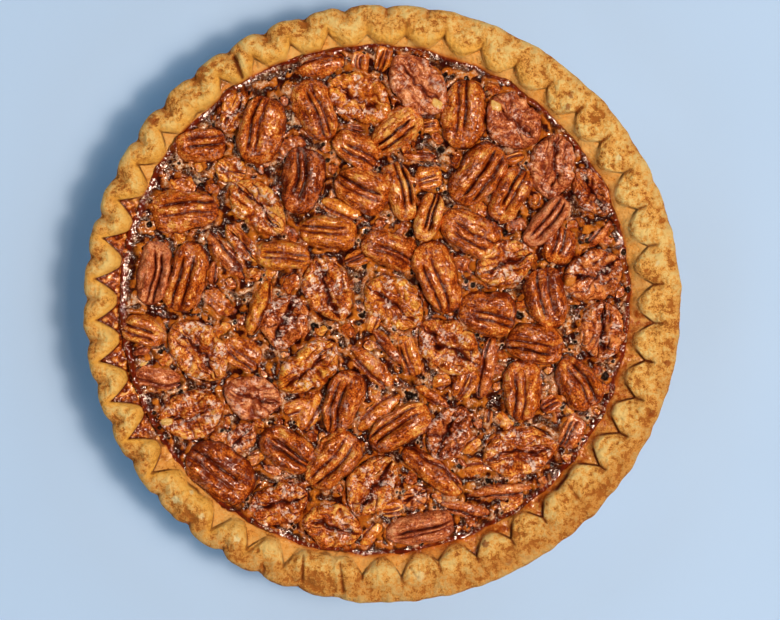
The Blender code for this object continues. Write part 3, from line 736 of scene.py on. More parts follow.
class PecanHalf:
    """One pecan half, a closed skin worked out along and across its length."""

    # Rows of points a millimetre of length, and the most and fewest there are
    DETAIL = 2.25
    MOST_ROWS = 68
    FEWEST_ROWS = 22
    UNDER_COLUMNS = 6
    UNDER_DEPTH = 2.2
    BELLY = 2.15
    USUAL_RISE = {Form.BACK: 7.0, Form.FACE: 5.6, Form.SIDE: 6.2, Form.CHIP: 3.0}
    USUAL_TONE = {Form.BACK: -0.35, Form.FACE: 0.38, Form.SIDE: 0.0, Form.CHIP: 0.0}
    # Power and taper of the outline, drawn for each back
    OUTLINES = {Form.FACE: (2.5, 0.03), Form.SIDE: (2.4, 0.05), Form.CHIP: (2.6, 0.10)}

    def __init__(self, spot: Spot, seed: int, level: float) -> None:
        """Set the half in its place.

        Args:
            spot: where and how it lies.
            seed: seed of its own irregularities.
            level: height of its middle plane before its lift.
        """
        self.spot = spot
        self.rng = np.random.default_rng(seed)
        self.level = level
        self.wander = WaveNoise(seed * 7 + 1, 15.0)
        self.ripple = WaveNoise(seed * 7 + 2, 4.6)
        self.crinkle = WaveNoise(seed * 7 + 3, 1.9)
        draw = self.rng.uniform
        self.rise = spot.rise or self.USUAL_RISE[spot.form] * draw(0.90, 1.10)
        self.bend = draw(-0.05, 0.05)
        self.lean = draw(-0.05, 0.05), draw(-0.10, 0.10)
        self.groove_at = draw(0.13, 0.26)
        self.split = draw(-1.0, 1.0)
        self.valley = draw(0.44, 0.60)
        self.ridge_height = draw(0.84, 0.98)
        self.cleft_end = draw(0.7, 1.05)
        self.fold_count = draw(3.6, 5.2)
        self.twist = draw(0.0, 2.0 * np.pi)
        self.tone = draw(-0.7, 0.7) + self.USUAL_TONE[spot.form] + spot.tone
        own_outline = draw(2.9, 4.2), draw(0.05, 0.17)
        self.power, self.taper = self.OUTLINES.get(spot.form, own_outline)
        self.roll = draw(-0.30, 0.30)
        self.groove_shift = self.rng.choice([-1.0, 1.0]) * draw(0.04, 0.30)
        self.groove_strength = draw(0.65, 1.0), draw(0.8, 1.0)
        self.curve = draw(-0.12, 0.12)
        is_dry = spot.finish is Finish.DRY
        self.dish = 0.12 if is_dry else 0.32
        self.crisp = 0.5 if is_dry else 1.0

    def _belly(self, a: Array) -> Array:
        """Half-width along the nut, 0 to 1: (1 - |a|^n)^(1/belly), a little wider to one end."""
        return dome(a, self.power) ** (1.0 / self.BELLY) * (1.0 + self.taper * a)

    def _ridged(self, x: Array, y: Array) -> Array:
        """Wrinkles as 1 - |noise|, sharp at their crests, about 0 to 1."""
        return unit(1.0 - np.abs(self.crinkle(x, y)))

    @staticmethod
    def _end(a: Array, reach: float, power: float) -> Array:
        """Fall of a ridge to its ends: (1 - |a / reach|^power)^(1/2)."""
        return np.sqrt(dome(a / reach, power))

    def _back(self, a: Array, c: Array, x: Array, y: Array) -> Pair:
        """Rounded back: a narrow middle ridge and two side lobes, parted by valleys that run out at the ends.

        Args:
            a, c: place along and across, -1 to 1.
            x, y: the same in millimetres.

        Returns:
            Height, 0 to 1, and how deep in a groove each point is, 0 to 1.
        """
        half = self.spot.width / 2.0
        belly = self._belly(a)
        middle_line = half * (self.roll + self.curve * (2.0 * a * a - 1.0)) + 0.35 * self.wander(x * 0.8, 2.0)
        side = np.where(y < middle_line, -1.0, 1.0)
        own = side * self.split
        across = side * (y - middle_line)
        strength = np.where(own < 0.0, self.groove_strength[0], self.groove_strength[1])
        line = half * (self.groove_at + 0.03 * own) * (0.72 + 0.28 * belly)
        line = np.clip(line + 0.14 * self.ripple(x * 0.7, own * 7.0), 0.10 * half, 0.50 * half)
        middle = (1.0 - unit(np.abs(across) / line) ** 2.0) ** 0.8
        room = half * belly * self._outline(a, c) - side * middle_line - line
        share = unit((across - line) / np.maximum(room, 0.2))
        crest = np.clip(2.4 / np.maximum(room, 2.0), 0.25, 0.60)
        rising = (1.0 - (1.0 - unit(share / crest)) ** 2) ** 0.95
        falling = unit(1.0 - unit((share - crest) / (1.0 - crest)) ** 2.0) ** 0.60
        reach = strength * ease((0.92 - np.abs(a - self.groove_shift * (1.0 + 0.3 * own))) / 0.30)
        top = self.ridge_height * self._end(a, 1.0, 3.4)
        level = top * (1.0 - (1.0 - self.valley - 0.05 * self.wander(x, 30.0 + own)) * reach)
        lobe = (1.0 + 0.05 * own) * self._end(a - 0.02 * own, 0.985, 3.0)
        height = np.where(across < line, level + (top - level) * middle, level + (lobe - level) * rising)
        height = np.where(share > crest, lobe * falling, height)
        fall = self._end(a, 1.0, 3.0)
        outside = (across > line) * fall
        wrinkles = self._ridged(x * 0.95, y * 0.70) ** 3
        furrow = bell(share - 0.62 - 0.12 * self.wander(x, own * 5.0), 0.07)
        furrow = furrow * unit(0.2 + 0.8 * self.ripple(x * 0.5, own * 4.0)) * outside
        height = height - 0.035 * wrinkles * outside - 0.07 * furrow
        height = height + (0.042 * self.ripple(x, y) + 0.020 * self.crinkle(x * 0.8, y)) * fall
        off = np.abs(across - line)
        broken = np.clip(0.85 + 0.30 * self.ripple(x * 0.9, own * 15.0), 0.5, 1.0)
        cavity = (0.78 * bell(off, 0.40) * broken + 0.34 * bell(off, 1.10)) * reach
        return height, unit(cavity + 0.28 * furrow + 0.12 * wrinkles * outside)

    def _face(self, a: Array, c: Array, x: Array, y: Array) -> Pair:
        """Cut face: a raised rim, a dished middle split by a ragged cleft, and folds that notch the rim.

        Args:
            a, c: place along and across, -1 to 1.
            x, y: the same in millimetres.

        Returns:
            Height, 0 to 1, and how deep in a groove each point is, 0 to 1.
        """
        out = (np.abs(a) ** 2.6 + np.abs(c) ** 2.6) ** (1.0 / 2.6)
        body = np.sqrt(unit(1.0 - out**7))
        dish = 1.0 - ease((out - 0.15) / 0.68)
        centre = 0.09 * self.wander(x, 3.0) + 0.05 * self.ripple(x, 2.0)
        width = 0.06 + 0.06 * np.clip(self.ripple(x * 0.7, 8.0), -0.4, 1.0)
        reach = ease((1.02 - a) / 0.22) * ease((self.cleft_end + a) / 0.22)
        cleft = bell(c - centre, width) * reach
        valley = bell(c - centre, 0.26) * ease((0.95 - np.abs(a)) / 0.5)
        away = self._folds(a, c, x, y)
        ring = ease((out - 0.22) / 0.2)
        crease = bell(away, 0.42) * ring
        wrinkles = self._ridged(x * 0.8, y * 0.8) ** 3
        height = body * (1.0 - self.dish * dish) - 0.28 * cleft - 0.14 * valley
        height = height - (0.16 * crease + 0.17 * np.exp(-away / 1.0) * ring) * body
        height = height - (0.07 + 0.05 * dish) * self.crisp * wrinkles * body
        height = height + (0.085 * self.ripple(x, y) + 0.045 * self.crinkle(x, y)) * self.crisp * body
        cavity = 0.60 * cleft + 0.16 * valley + 0.35 * self.dish * dish + 0.50 * crease + 0.10 * wrinkles
        return height, unit(cavity)

    def _folds(self, a: Array, c: Array, x: Array, y: Array) -> Array:
        """Distance in millimetres to the nearest of the creases that fan out from each lobe's heart.

        A crease lies where sin(n q + drift) is 0, q being the angle about the heart, and that
        sine times the distance from the heart over n is about the distance to it.

        Args:
            a, c: place along and across, -1 to 1.
            x, y: the same in millimetres.

        Returns:
            The distances.
        """
        side = np.where(c < 0.0, -1.0, 1.0)
        heart = 0.16 * side * math.sin(self.twist)
        turn = np.arctan2((np.abs(c) - 0.05) * 1.3, a + heart)
        drift = 0.7 * self.wander(x * 1.5, y * 1.5) + 0.22 * self.ripple(x * 0.8, y * 0.8)
        wave = np.sin(self.fold_count * turn + self.twist * side + drift)
        reach = np.hypot(c * self.spot.width / 2.0, (a + heart) * self.spot.length / 2.0)
        return np.abs(wave) * reach / self.fold_count

    def _side(self, a: Array, c: Array, x: Array, y: Array) -> Pair:
        """A half on its edge: a narrow back with one long groove to a side.

        Args:
            a, c: place along and across, -1 to 1.
            x, y: the same in millimetres.

        Returns:
            Height, 0 to 1, and how deep in a groove each point is, 0 to 1.
        """
        crown = np.sqrt(dome(c, 2.2))
        fall = self._end(a, 1.0, 2.8)
        centre = 0.50 * np.sign(self.split) + 0.08 * self.wander(x, 2.0)
        reach = ease((0.98 - np.abs(a)) / 0.15)
        wrinkles = self._ridged(x * 0.8, y * 0.5) ** 2
        height = crown * fall - (0.18 * bell(c - centre, 0.30) + 0.20 * bell(c - centre, 0.12)) * reach
        height = height - 0.08 * wrinkles * fall + 0.06 * self.ripple(x, y) * fall
        cavity = (0.4 * bell(c - centre, 0.12) + 0.25 * bell(c - centre, 0.3)) * reach + 0.2 * wrinkles
        return height, unit(cavity)

    def _chip(self, a: Array, c: Array, x: Array, y: Array) -> Pair:
        """A broken bit: a lump with ridges.

        Args:
            a, c: place along and across, -1 to 1.
            x, y: the same in millimetres.

        Returns:
            Height, 0 to 1, and how deep in a groove each point is, 0 to 1.
        """
        lump = np.sqrt(dome(c, 2.2) * dome(a, 2.2))
        ridges = self._ridged(x * 0.6, y * 0.6) ** 2
        height = lump * (0.80 + 0.16 * self.ripple(x * 1.3, y * 1.3)) - 0.16 * ridges * lump
        return height, unit(0.3 * ridges + 0.1)

    def _outline(self, a: Array, c: Array) -> Array:
        """Waviness of the outline, about 1; a face's is drawn in where its folds reach it.

        Args:
            a, c: place along and across, -1 to 1.

        Returns:
            What the half-width is multiplied by.
        """
        x = a * self.spot.length / 2.0
        side = np.where(c < 0.0, -1.0, 1.0)
        wavy = 1.0 + 0.035 * self.ripple(x * 0.8, side * 12.0) + 0.035 * self.wander(x, side * 20.0)
        if self.spot.form is Form.FACE:
            edge = side * self._belly(a)
            wavy = wavy - 0.10 * np.exp(-self._folds(a, edge, x, edge * self.spot.width / 2.0) / 0.9)
        if self.spot.form is Form.CHIP:
            wavy = wavy + 0.16 * self.ripple(x * 1.5, side * 12.0)
        return wavy

    def rings(self) -> tuple[Array, dict]:
        """Points of the skin.

        Along: a = cos(t) from the blunt end to the other. Across the top c runs evenly from
        1 to -1, and the under side closes the ring.

        Returns:
            The rings and the values kept on the mesh.
        """
        spot = self.spot
        rows = int(np.clip(self.DETAIL * spot.length, self.FEWEST_ROWS, self.MOST_ROWS))
        t = np.pi * np.arange(1, rows + 1) / (rows + 1)
        top = np.linspace(1.0, -1.0, rows)
        under = np.cos(np.linspace(np.pi, 2.0 * np.pi, self.UNDER_COLUMNS + 2))[1:-1]
        c = np.concatenate([top, under])[None, :]
        upper = np.arange(c.shape[1])[None, :] < rows
        a, c, upper = np.broadcast_arrays(np.cos(t)[:, None], c, upper)
        x = a * spot.length / 2.0
        y = c * self._belly(a) * self._outline(a, c) * spot.width / 2.0
        shape = {Form.BACK: self._back, Form.FACE: self._face, Form.SIDE: self._side, Form.CHIP: self._chip}
        height, cavity = shape[spot.form](a, c, x, y)
        fall = np.sqrt(dome(a, 2.4))
        z = np.where(upper, np.maximum(height, 0.0) * self.rise, 0.0)
        z = np.where(upper, z, -self.UNDER_DEPTH * np.sqrt(unit(1.0 - c * c)) * fall)
        knob = np.zeros_like(a)
        if spot.form is Form.FACE and spot.nub > 0.0:
            z, cavity, knob = self._with_knob(x, y, z, cavity, upper)
        if spot.form is Form.CHIP:
            knob = knob + spot.nub
        low = np.where(upper, 1.0 - unit(z / self.rise), 1.0)
        grain = np.stack([x + 40.0 * self.twist, y, z], -1) * MM
        values = {
            "cavity": cavity * upper,
            "low": low,
            "knob": knob,
            "tone": np.full(low.shape, self.tone),
            "face": np.full(low.shape, float(spot.form is Form.FACE)),
            "grain": grain,
        }
        return self._set_down(x, y + self.bend * spot.width * a * a, z), values

    def _with_knob(self, x: Array, y: Array, z: Array, cavity: Array, upper: Array) -> tuple:
        """Add the knob near the blunt end: a lumpy oval.

        Args:
            x, y, z: points of the skin.
            cavity: how deep in a groove each is.
            upper: which lie on top.

        Returns:
            Heights, cavity and the knob's paleness.
        """
        off = self.rng.uniform(-0.08, 0.08) * self.spot.width
        reach = 0.36 * self.spot.length
        away = np.hypot((x - reach) / 3.0, (y - off) / 1.9) * (1.0 + 0.10 * self.ripple(x * 1.6, y * 1.6))
        inside = ease((1.1 - away) / 0.35) * upper
        top = 0.55 * self.rise + 1.1 * np.sqrt(np.clip(1.2 - away**2, 0.0, 2.0))
        return z + inside * np.maximum(top - z, 0.0), cavity * (1.0 - inside), inside * self.spot.nub

    def _set_down(self, x: Array, y: Array, z: Array) -> Array:
        """Lean a little, turn to the heading and move to the spot.

        Args:
            x, y, z: points about the half's own middle.

        Returns:
            The points on the pie.
        """
        spot = self.spot
        z = z + x * self.lean[0] + y * self.lean[1]
        turn = math.radians(spot.heading)
        east = spot.x + x * math.cos(turn) - y * math.sin(turn)
        north = spot.y + x * math.sin(turn) + y * math.cos(turn)
        return np.stack([east, north, z + self.level + spot.lift], -1)

    def parts(self) -> tuple:
        """Points, faces and attributes of the closed skin."""
        rings, values = self.rings()
        return MeshMaker.tube_parts(rings, rings[0].mean(axis=0), rings[-1].mean(axis=0), values, True)


@dataclass(frozen=True)
class CrustSize:
    """Sizes of the fluted crust, millimetres and degrees."""

    flutes: int = 44
    first_notch: float = 4.2
    outer: float = 127.6
    crown: float = 43.0
    inner_base: float = 89.0
    floor_top: float = 5.1
    floor_under: float = 1.1
    tin_top: float = 115.1
    tin_base: float = 94.4
    rim_under: float = 34.3
    rim_inside: float = 124.5
    filling_top: float = 35.4
    wall_slope: float = 0.40
    syrup_slope: float = 0.16


@dataclass(frozen=True)
class Loop:
    """A line round the pie that is not quite a circle about its axis.

    Its radius is middle + east cos a + north sin a + long_east cos 2a + long_north sin 2a.
    """

    middle: float
    east: float
    north: float
    long_east: float = 0.0
    long_north: float = 0.0

    def __call__(self, angle: Array) -> Array:
        """Its radius at angles."""
        once = self.middle + self.east * np.cos(angle) + self.north * np.sin(angle)
        return once + self.long_east * np.cos(2.0 * angle) + self.long_north * np.sin(2.0 * angle)


@dataclass
class Rim:
    """Where the crust's teeth, notches and filling line lie at each angle."""

    size: CrustSize
    # The teeth's tips, the notches' roots and the filling's edge
    tip: Loop = Loop(109.8, -1.9, 1.0, 0.7, 0.6)
    root: Loop = Loop(117.6, -3.1, 0.0, 1.3, 0.8)
    shore: Loop = Loop(108.1, -3.0, 1.7)
    unevenness: float = 0.35
    uneven_radius: float = 108.0
    least_notch: float = 0.3
    notch_growth: float = 3.3

    def __post_init__(self) -> None:
        """Draw the unevenness of the filling's edge."""
        self.uneven = WaveNoise(31, 14.0)

    def turns(self, angle: Array) -> Array:
        """Angle counted in flutes: whole at an inner notch, half in the middle of a tooth."""
        slip = 0.6 * np.cos(angle + math.radians(10.0)) - 0.6
        return (np.degrees(angle) % 360.0 - self.size.first_notch - slip) * self.size.flutes / 360.0

    def phase(self, angle: Array) -> Array:
        """0 at an inner notch, 1 in the middle of a tooth."""
        turns = self.turns(angle)
        return 2.0 * np.abs(turns - np.round(turns))

    def tooth(self, angle: Array) -> Array:
        """Number of the tooth an angle belongs to."""
        return np.floor(self.turns(angle)).astype(int) % self.size.flutes

    def notch(self, angle: Array) -> Array:
        """Number of the notch nearest to an angle."""
        return np.round(self.turns(angle)).astype(int) % self.size.flutes

    def filling(self, angle: Array) -> Array:
        """Radius where the filling meets the crust."""
        return self.shore(angle) + self.unevenness * self.uneven(*flat(self.uneven_radius, angle))

    def depth_share(self, angle: Array) -> Array:
        """How deep the outer notches are, 0 to 1: deep from the north round to the south-west."""
        return unit(0.35 + 2.1 * facing(angle, 172.0))

    def outer_notch(self, angle: Array) -> Array:
        """Depth of the outer notches."""
        return self.least_notch + self.notch_growth * self.depth_share(angle)


@dataclass(frozen=True)
class Crease:
    """A crease across the rim: angles at its inner and outer end in degrees, its radii and its depth."""

    inner_angle: float
    outer_angle: float
    inner: float
    outer: float
    depth: float
    half_width: float = 0.55


@dataclass
class Crust:
    """The crust: a shell lining the tin, with a rim of hand-pressed teeth."""

    size: CrustSize
    rim: Rim
    columns_per_flute: int = 34
    # Rows up the wall, round a tooth's nose, over the top and round the outer roll
    wall_steps: int = 11
    nose_steps: int = 13
    top_steps: int = 24
    roll_steps: int = 7
    # The outer roll's radius, the breadth from a notch to a tooth's middle, and the unseen floor's radius
    roll: float = 2.6
    half_flute: float = 8.4
    hidden: float = 45.0
    # Direction of each faint notch, and the share of it that is lost
    faint: tuple = (
        (133.5, 0.75), (224.4, 0.9), (257.0, 1.0), (282.0, 0.4), (315.0, 0.85), (85.0, 0.25), (93.5, 0.3),
    )
    creases: tuple[Crease, ...] = (
        Crease(121.6, 120.6, 112.0, 124.0, 2.4, 0.8),
        Crease(117.6, 117.2, 113.0, 118.0, 1.2),
        Crease(251.7, 253.4, 111.0, 124.0, 1.5),
        Crease(260.0, 261.9, 111.0, 125.0, 1.5),
        Crease(275.0, 276.8, 111.5, 118.0, 1.0),
        Crease(280.6, 282.1, 108.5, 117.0, 1.1),
        Crease(234.4, 232.3, 111.0, 120.5, 1.3),
        Crease(242.9, 240.8, 110.5, 121.0, 1.3),
        Crease(250.7, 248.9, 109.5, 119.0, 1.3),
        Crease(244.7, 246.0, 121.5, 126.0, 1.2),
        Crease(236.5, 236.5, 122.5, 126.0, 1.0),
        Crease(85.2, 85.2, 117.0, 121.0, 0.9),
        Crease(315.6, 314.6, 108.0, 119.0, 0.7),
        Crease(224.4, 224.4, 116.0, 121.0, 0.7),
        Crease(133.2, 134.0, 112.0, 115.0, 0.9),
        Crease(320.0, 318.6, 119.0, 124.0, 0.5),
        Crease(293.5, 295.0, 118.5, 124.0, 0.4),
    )
    # Direction, radius, height and spread
    blisters: tuple = (
        (32.0, 117.6, 0.6, 2.2), (46.3, 115.0, 0.6, 2.6), (47.5, 122.0, 0.5, 3.0), (293.3, 112.2, 0.6, 2.2),
        (338.0, 123.4, 0.5, 2.6), (347.8, 123.9, 0.6, 2.2), (66.0, 119.0, 0.4, 2.6), (102.0, 117.0, 0.5, 3.6),
        (238.2, 117.0, 0.5, 3.0), (10.0, 118.5, 0.4, 3.0), (140.0, 123.0, 0.5, 3.0), (23.5, 118.0, 0.4, 2.4),
    )
    # Direction, radius, spread, and 1 for a pale flake to -1 for a scorched spot
    flakes: tuple = (
        (32.0, 118.0, 1.3, 1.0), (8.5, 118.2, 1.3, 0.8), (223.0, 121.0, 1.5, 0.9), (229.2, 118.5, 1.2, 0.8),
        (237.8, 117.6, 1.5, 1.0), (224.2, 114.0, 1.1, 0.7), (277.5, 117.0, 2.4, 0.7),
        (47.0, 115.0, 1.3, -0.9), (48.3, 119.5, 1.5, -0.8), (293.0, 111.3, 1.4, -1.0),
        (337.8, 124.2, 1.4, -1.0), (348.3, 123.8, 1.5, -1.0), (65.8, 118.6, 1.0, -0.7),
        (141.5, 125.0, 2.6, -0.9), (127.5, 126.0, 2.0, -0.7), (62.0, 124.0, 1.2, -0.5),
        (296.0, 122.5, 1.6, -0.6), (320.5, 122.5, 1.6, -0.5), (11.5, 125.0, 1.5, -0.5),
    )

    def __post_init__(self) -> None:
        """Draw each tooth's own irregularity."""
        rng = np.random.default_rng(12)
        self.tooth_reach = rng.uniform(-0.6, 0.6, self.size.flutes)
        self.tooth_height = rng.uniform(-0.45, 0.3, self.size.flutes)
        self.notch_reach = rng.uniform(-0.6, 0.9, self.size.flutes)
        self.broad = WaveNoise(41, 10.0)
        self.middle = WaveNoise(42, 3.6)
        self.fine = WaveNoise(43, 1.5)

    def _kept(self, angle: Array) -> Array:
        """How clear the notches are at an angle, 1 or less where one is faint.

        Args:
            angle: angles about the axis, radians.

        Returns:
            The share of each notch that is left.
        """
        degrees = np.degrees(angle) % 360.0
        share = np.ones_like(degrees)
        for place, loss in self.faint:
            share = share * (1.0 - loss * bell(degrees - place, 3.2))
        return share

    def _fullness(self, angle: Array) -> Array:
        """Phase of the teeth, nearer 1 where a notch is faint."""
        return 1.0 - (1.0 - self.rim.phase(angle)) * self._kept(angle)

    def _edge(self, angle: Array) -> Array:
        """Radius of the teeth's inner outline.

        It is tip + (root - tip) (1 - phase / 0.85)^1.6, nearer the tip where notches are faint.

        Args:
            angle: angles about the axis, radians.

        Returns:
            The radii.
        """
        phase = self.rim.phase(angle)
        share = unit(1.0 - phase / 0.85) ** 1.6 * self._kept(angle)
        tip = self.rim.tip(angle) + self.tooth_reach[self.rim.tooth(angle)] * ease(phase / 0.5)
        root = self.rim.root(angle) + self.notch_reach[self.rim.notch(angle)]
        edge = tip + (root - tip) * share
        return np.maximum(edge, self.rim.filling(angle) + 0.3)

    def _outer(self, angle: Array) -> Pair:
        """Outer radius: round, and with the lobes between the outer notches.

        Args:
            angle: angles about the axis, radians.

        Returns:
            The radii without the lobes, and with them.
        """
        x, y = flat(127.0, angle)
        whole = self.size.outer + 0.18 * self.broad(x, y)
        lobe = 1.0 - np.sqrt(unit(1.0 - 0.99 * self.rim.phase(angle) ** 2.6))
        return whole, whole - self.rim.outer_notch(angle) * lobe

    def _wall(self, radius: Array, angle: Array) -> Array:
        """Height of the sloping wall between the filling and the teeth.

        Args:
            radius: distances from the axis.
            angle: angles about the axis, radians.

        Returns:
            The heights.
        """
        size = self.size
        out = radius - self.rim.filling(angle)
        x, y = flat(radius, angle)
        west = self._west(angle)
        slope = size.wall_slope + (size.syrup_slope - size.wall_slope) * west
        uneven = (0.14 + 0.34 * west) * self.middle(x, y) * ease(out)
        return size.filling_top - 0.2 + slope * out + uneven

    @staticmethod
    def _west(angle: Array) -> Array:
        """How far the notches at an angle are filled with syrup, 0 to 1."""
        return ease((facing(angle, 184.0) - 0.83) / 0.09)

    def _crown(self, radius: Array, angle: Array, edge: Array, outer: Array) -> Array:
        """Height of the rim's top: each tooth a pillow, dipping to the notches within and without.

        Args:
            radius: distances from the axis.
            angle: angles about the axis, radians.
            edge, outer: inner and outer radius of the rim.

        Returns:
            The heights.
        """
        phase = self._fullness(angle)
        share = unit((radius - edge) / (outer - edge))
        height = self.size.crown - 1.5 * ((share - 0.45) / 0.55) ** 2
        height = height + self.tooth_height[self.rim.tooth(angle)] * ease(self.rim.phase(angle) / 0.6)
        root = self.rim.root(angle)
        height = height - 1.5 * (1.0 - phase) ** 1.6 * (1.0 - ease((radius - root + 1.0) / 6.0))
        deep = self.rim.depth_share(angle)
        from_notch = (1.0 - phase) * self.half_flute
        dip = 2.0 * bell(from_notch, 2.4) + 1.2 * bell(from_notch, 0.7)
        return height - (deep + 0.08) * dip * ease((radius - 118.5) / 7.0)

    def _trunk(self, radius: Array, angle: Array) -> Array:
        """How deep in the crease beyond each notch's root a place is, 0 to 1.

        Args:
            radius: distances from the axis.
            angle: angles about the axis, radians.

        Returns:
            The share.
        """
        root = self.rim.root(angle) + self.notch_reach[self.rim.notch(angle)]
        length = 3.2 + 1.6 * facing(angle, 10.0)
        aside = self.rim.phase(angle) * self.half_flute
        return bell(aside, 0.5) * ease((root + length - radius) / 2.0) * self._kept(angle)

    def _creases(self, radius: Array, angle: Array) -> Array:
        """Depth of the separate creases.

        Args:
            radius: distances from the axis.
            angle: angles about the axis, radians.

        Returns:
            The depths.
        """
        depth = np.zeros_like(radius)
        for crease in self.creases:
            share = unit((radius - crease.inner) / (crease.outer - crease.inner))
            middle = crease.inner_angle + (crease.outer_angle - crease.inner_angle) * share
            turn = (np.degrees(angle) - middle + 180.0) % 360.0 - 180.0
            aside = np.radians(turn) * radius
            along = ease((radius - crease.inner) / 1.5) * ease((crease.outer - radius) / 1.5)
            lip = bell(aside - crease.half_width, crease.half_width) - 0.45 * bell(aside + 1.8, 1.2)
            depth = depth + crease.depth * lip * along
        return depth

    def _relief(self, radius: Array, angle: Array) -> Array:
        """Unevenness of baked dough with its creases and blisters.

        Args:
            radius: distances from the axis.
            angle: angles about the axis, radians.

        Returns:
            What it adds to the height.
        """
        x, y = flat(radius, angle)
        rise = 0.34 * self.broad(x, y) + 0.15 * self.middle(x, y) + 0.07 * self.fine(x, y)
        rise = rise - 0.14 * unit(1.0 - 3.5 * np.abs(self.middle(x + 40.0, y)))
        for degrees, reach, height, spread in self.blisters:
            rise = rise + height * bell(away_from(x, y, degrees, reach), spread)
        return rise - self._creases(radius, angle) - 1.1 * self._trunk(radius, angle)

    def _rows(self, angle: Array) -> Pair:
        """Radius and height of every row of the section, from the inside floor round to the under side.

        Args:
            angle: angles about the axis, radians.

        Returns:
            Radii and heights, rows by angles.
        """
        size = self.size
        fill = self.rim.filling(angle)
        edge = self._edge(angle)
        whole, outer = self._outer(angle)
        phase = self._fullness(angle)
        rows = [
            (self.hidden, size.floor_top),
            (size.inner_base - 0.6, size.floor_top),
            (size.inner_base, size.floor_top + 0.4),
            (0.5 * (size.inner_base + fill), 19.5),
            (fill - 0.7, size.filling_top - 1.5),
        ]
        facing = 0.5 - 0.5 * np.cos(angle)
        swell = (2.4 - 1.6 * facing) * ease(phase / 0.6)
        for share in np.linspace(0.0, 1.0, self.wall_steps)[:-1]:
            radius = fill + (edge - fill) * share
            rows.append((radius, self._wall(radius, angle) + swell * share**1.5))
        base = self._wall(edge, angle) + swell - 0.5 * (1.0 - ease(phase / 0.6))
        nose = 1.2 + (1.6 + 3.0 * facing) * ease((phase - 0.10) / 0.55)
        soft = ease(phase / 0.7)
        for share in np.linspace(0.0, 1.0, self.nose_steps):
            near = share**1.5
            radius = edge + nose * near
            round_rise = (1.0 - (1.0 - near) ** 2.6) ** 0.75
            rise = (1.0 - soft) * math.sqrt(1.0 - (1.0 - near) ** 2) + soft * round_rise
            height = base + (self._crown(radius, angle, edge, outer) - base) * rise
            rows.append((radius, height + self._relief(radius, angle) * min(1.0, 2.0 * near)))
        start = edge + nose
        for share in np.linspace(0.0, 1.0, self.top_steps)[1:]:
            radius = start + (outer - self.roll - start) * share
            rows.append((radius, self._crown(radius, angle, edge, outer) + self._relief(radius, angle)))
        last = rows[-1][1]
        for turn in np.linspace(0.0, np.pi / 2.0, self.roll_steps)[1:]:
            radius = outer - self.roll + self.roll * math.sin(turn)
            rows.append((radius, last - 3.0 * (1.0 - math.cos(turn))))
        ledge = whole - 1.5 * ease((self.rim.outer_notch(angle) - 1.0) / 2.0)
        rows += [
            (np.minimum(outer + 0.4 * (ledge - outer), ledge), 38.6),
            (ledge - 0.35, 37.6),
            (ledge - 0.2, 36.0),
            (np.minimum(ledge - 1.4, size.rim_inside), size.rim_under),
            (size.tin_top, size.rim_under),
            (size.tin_base, size.floor_under),
            (self.hidden, size.floor_under),
        ]
        radius, height = (np.array([np.broadcast_to(v, angle.shape) for v in part]) for part in zip(*rows))
        return radius, height

    def build(self) -> bpy.types.Object:
        """Sweep the section round.

        Returns:
            The piece.
        """
        size = self.size
        columns = size.flutes * self.columns_per_flute
        angle = np.arange(columns) * 2.0 * np.pi / columns
        radius, height = self._rows(angle)
        rings = np.stack([*flat(radius, angle), height], -1)
        values = self._looks(radius, np.broadcast_to(angle, radius.shape))
        values["crest"] = crests(height, 4, 0.45, True)
        poles = np.array([0.0, 0.0, size.floor_top]), np.array([0.0, 0.0, size.floor_under])
        obj = MeshMaker.tube("pie_crust", rings, poles[0], poles[1], values)
        obj.data.materials.append(CrustFinish().material("pie_crust"))
        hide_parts("crust")
        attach(obj, "root")
        return obj

    def _flakes(self, radius: Array, angle: Array) -> Array:
        """Where the crust has a pale flake, 1, or a scorched spot, -1.

        Args:
            radius: distances from the axis.
            angle: angles about the axis, radians.

        Returns:
            The change of shade.
        """
        x, y = flat(radius, angle)
        shade = np.zeros_like(radius)
        for degrees, reach, spread, change in self.flakes:
            away = away_from(x, y, degrees, reach) / spread
            shade = shade + change * ease(1.5 - away + 0.2 * self.middle(2.0 * x, 2.0 * y))
        return shade

    def _looks(self, radius: Array, angle: Array) -> dict[str, Array]:
        """Values that steer the crust's colour, each 0 to 1.

        Args:
            radius: distances from the axis.
            angle: angles about the axis, radians.

        Returns:
            browning_and_shade: painted shade in the outer valleys and the seams between teeth, a browner
                outer edge
                and a darker south side; pocket: floor of a notch; line: painted shade along the notches and
                in the creases; stain:
                syrup soaked in by the filling; syrup: glaze that fills the western notches; amber: browned
                syrup of the south-eastern ones; lit_tips: painted light, yellow on the tips of the northern
                and western teeth.
        """
        edge = self._edge(angle)
        phase = self.rim.phase(angle)
        degrees = np.degrees(angle) % 360.0
        off = radius - edge
        out = radius - self.rim.filling(angle)
        pocket = ease(0.5 - off / 0.6)
        east = 0.5 + 0.5 * facing(angle, 325.0)
        west = 0.5 + 0.5 * facing(angle, 184.0)
        strength = 0.42 + 0.58 * np.maximum(east**3, west**5)
        reach = 0.30 + 0.48 * np.maximum(east**8, west**4)
        # Painted shade: dark lines along the notches' legs and roots and in the creases
        leg = bell(off - 0.15, 0.60 + 0.15 * east**8) * ease((reach - phase) / 0.30)
        line = np.maximum(leg, self._trunk(radius, angle) * ease((off + 0.6) / 0.5)) * strength
        line = np.maximum(line, np.clip(self._creases(radius, angle) * 0.42, 0.0, 0.9))
        syrup = self._west(angle) * ease((0.8 - off) / 0.6)
        north = np.maximum(bell(degrees - 126.1, 2.4), bell(degrees - 121.0, 1.6)) * ease(0.5 - off / 0.8)
        # Painted light: yellow on the tips of the northern and western teeth
        lit_tips = ease((7.5 - off) / 6.0) * ease((off + 0.2) / 0.8) * ease((0.3 - facing(angle, 330.0)) / 0.6)
        root = self.rim.root(angle)
        deep = self.rim.depth_share(angle)
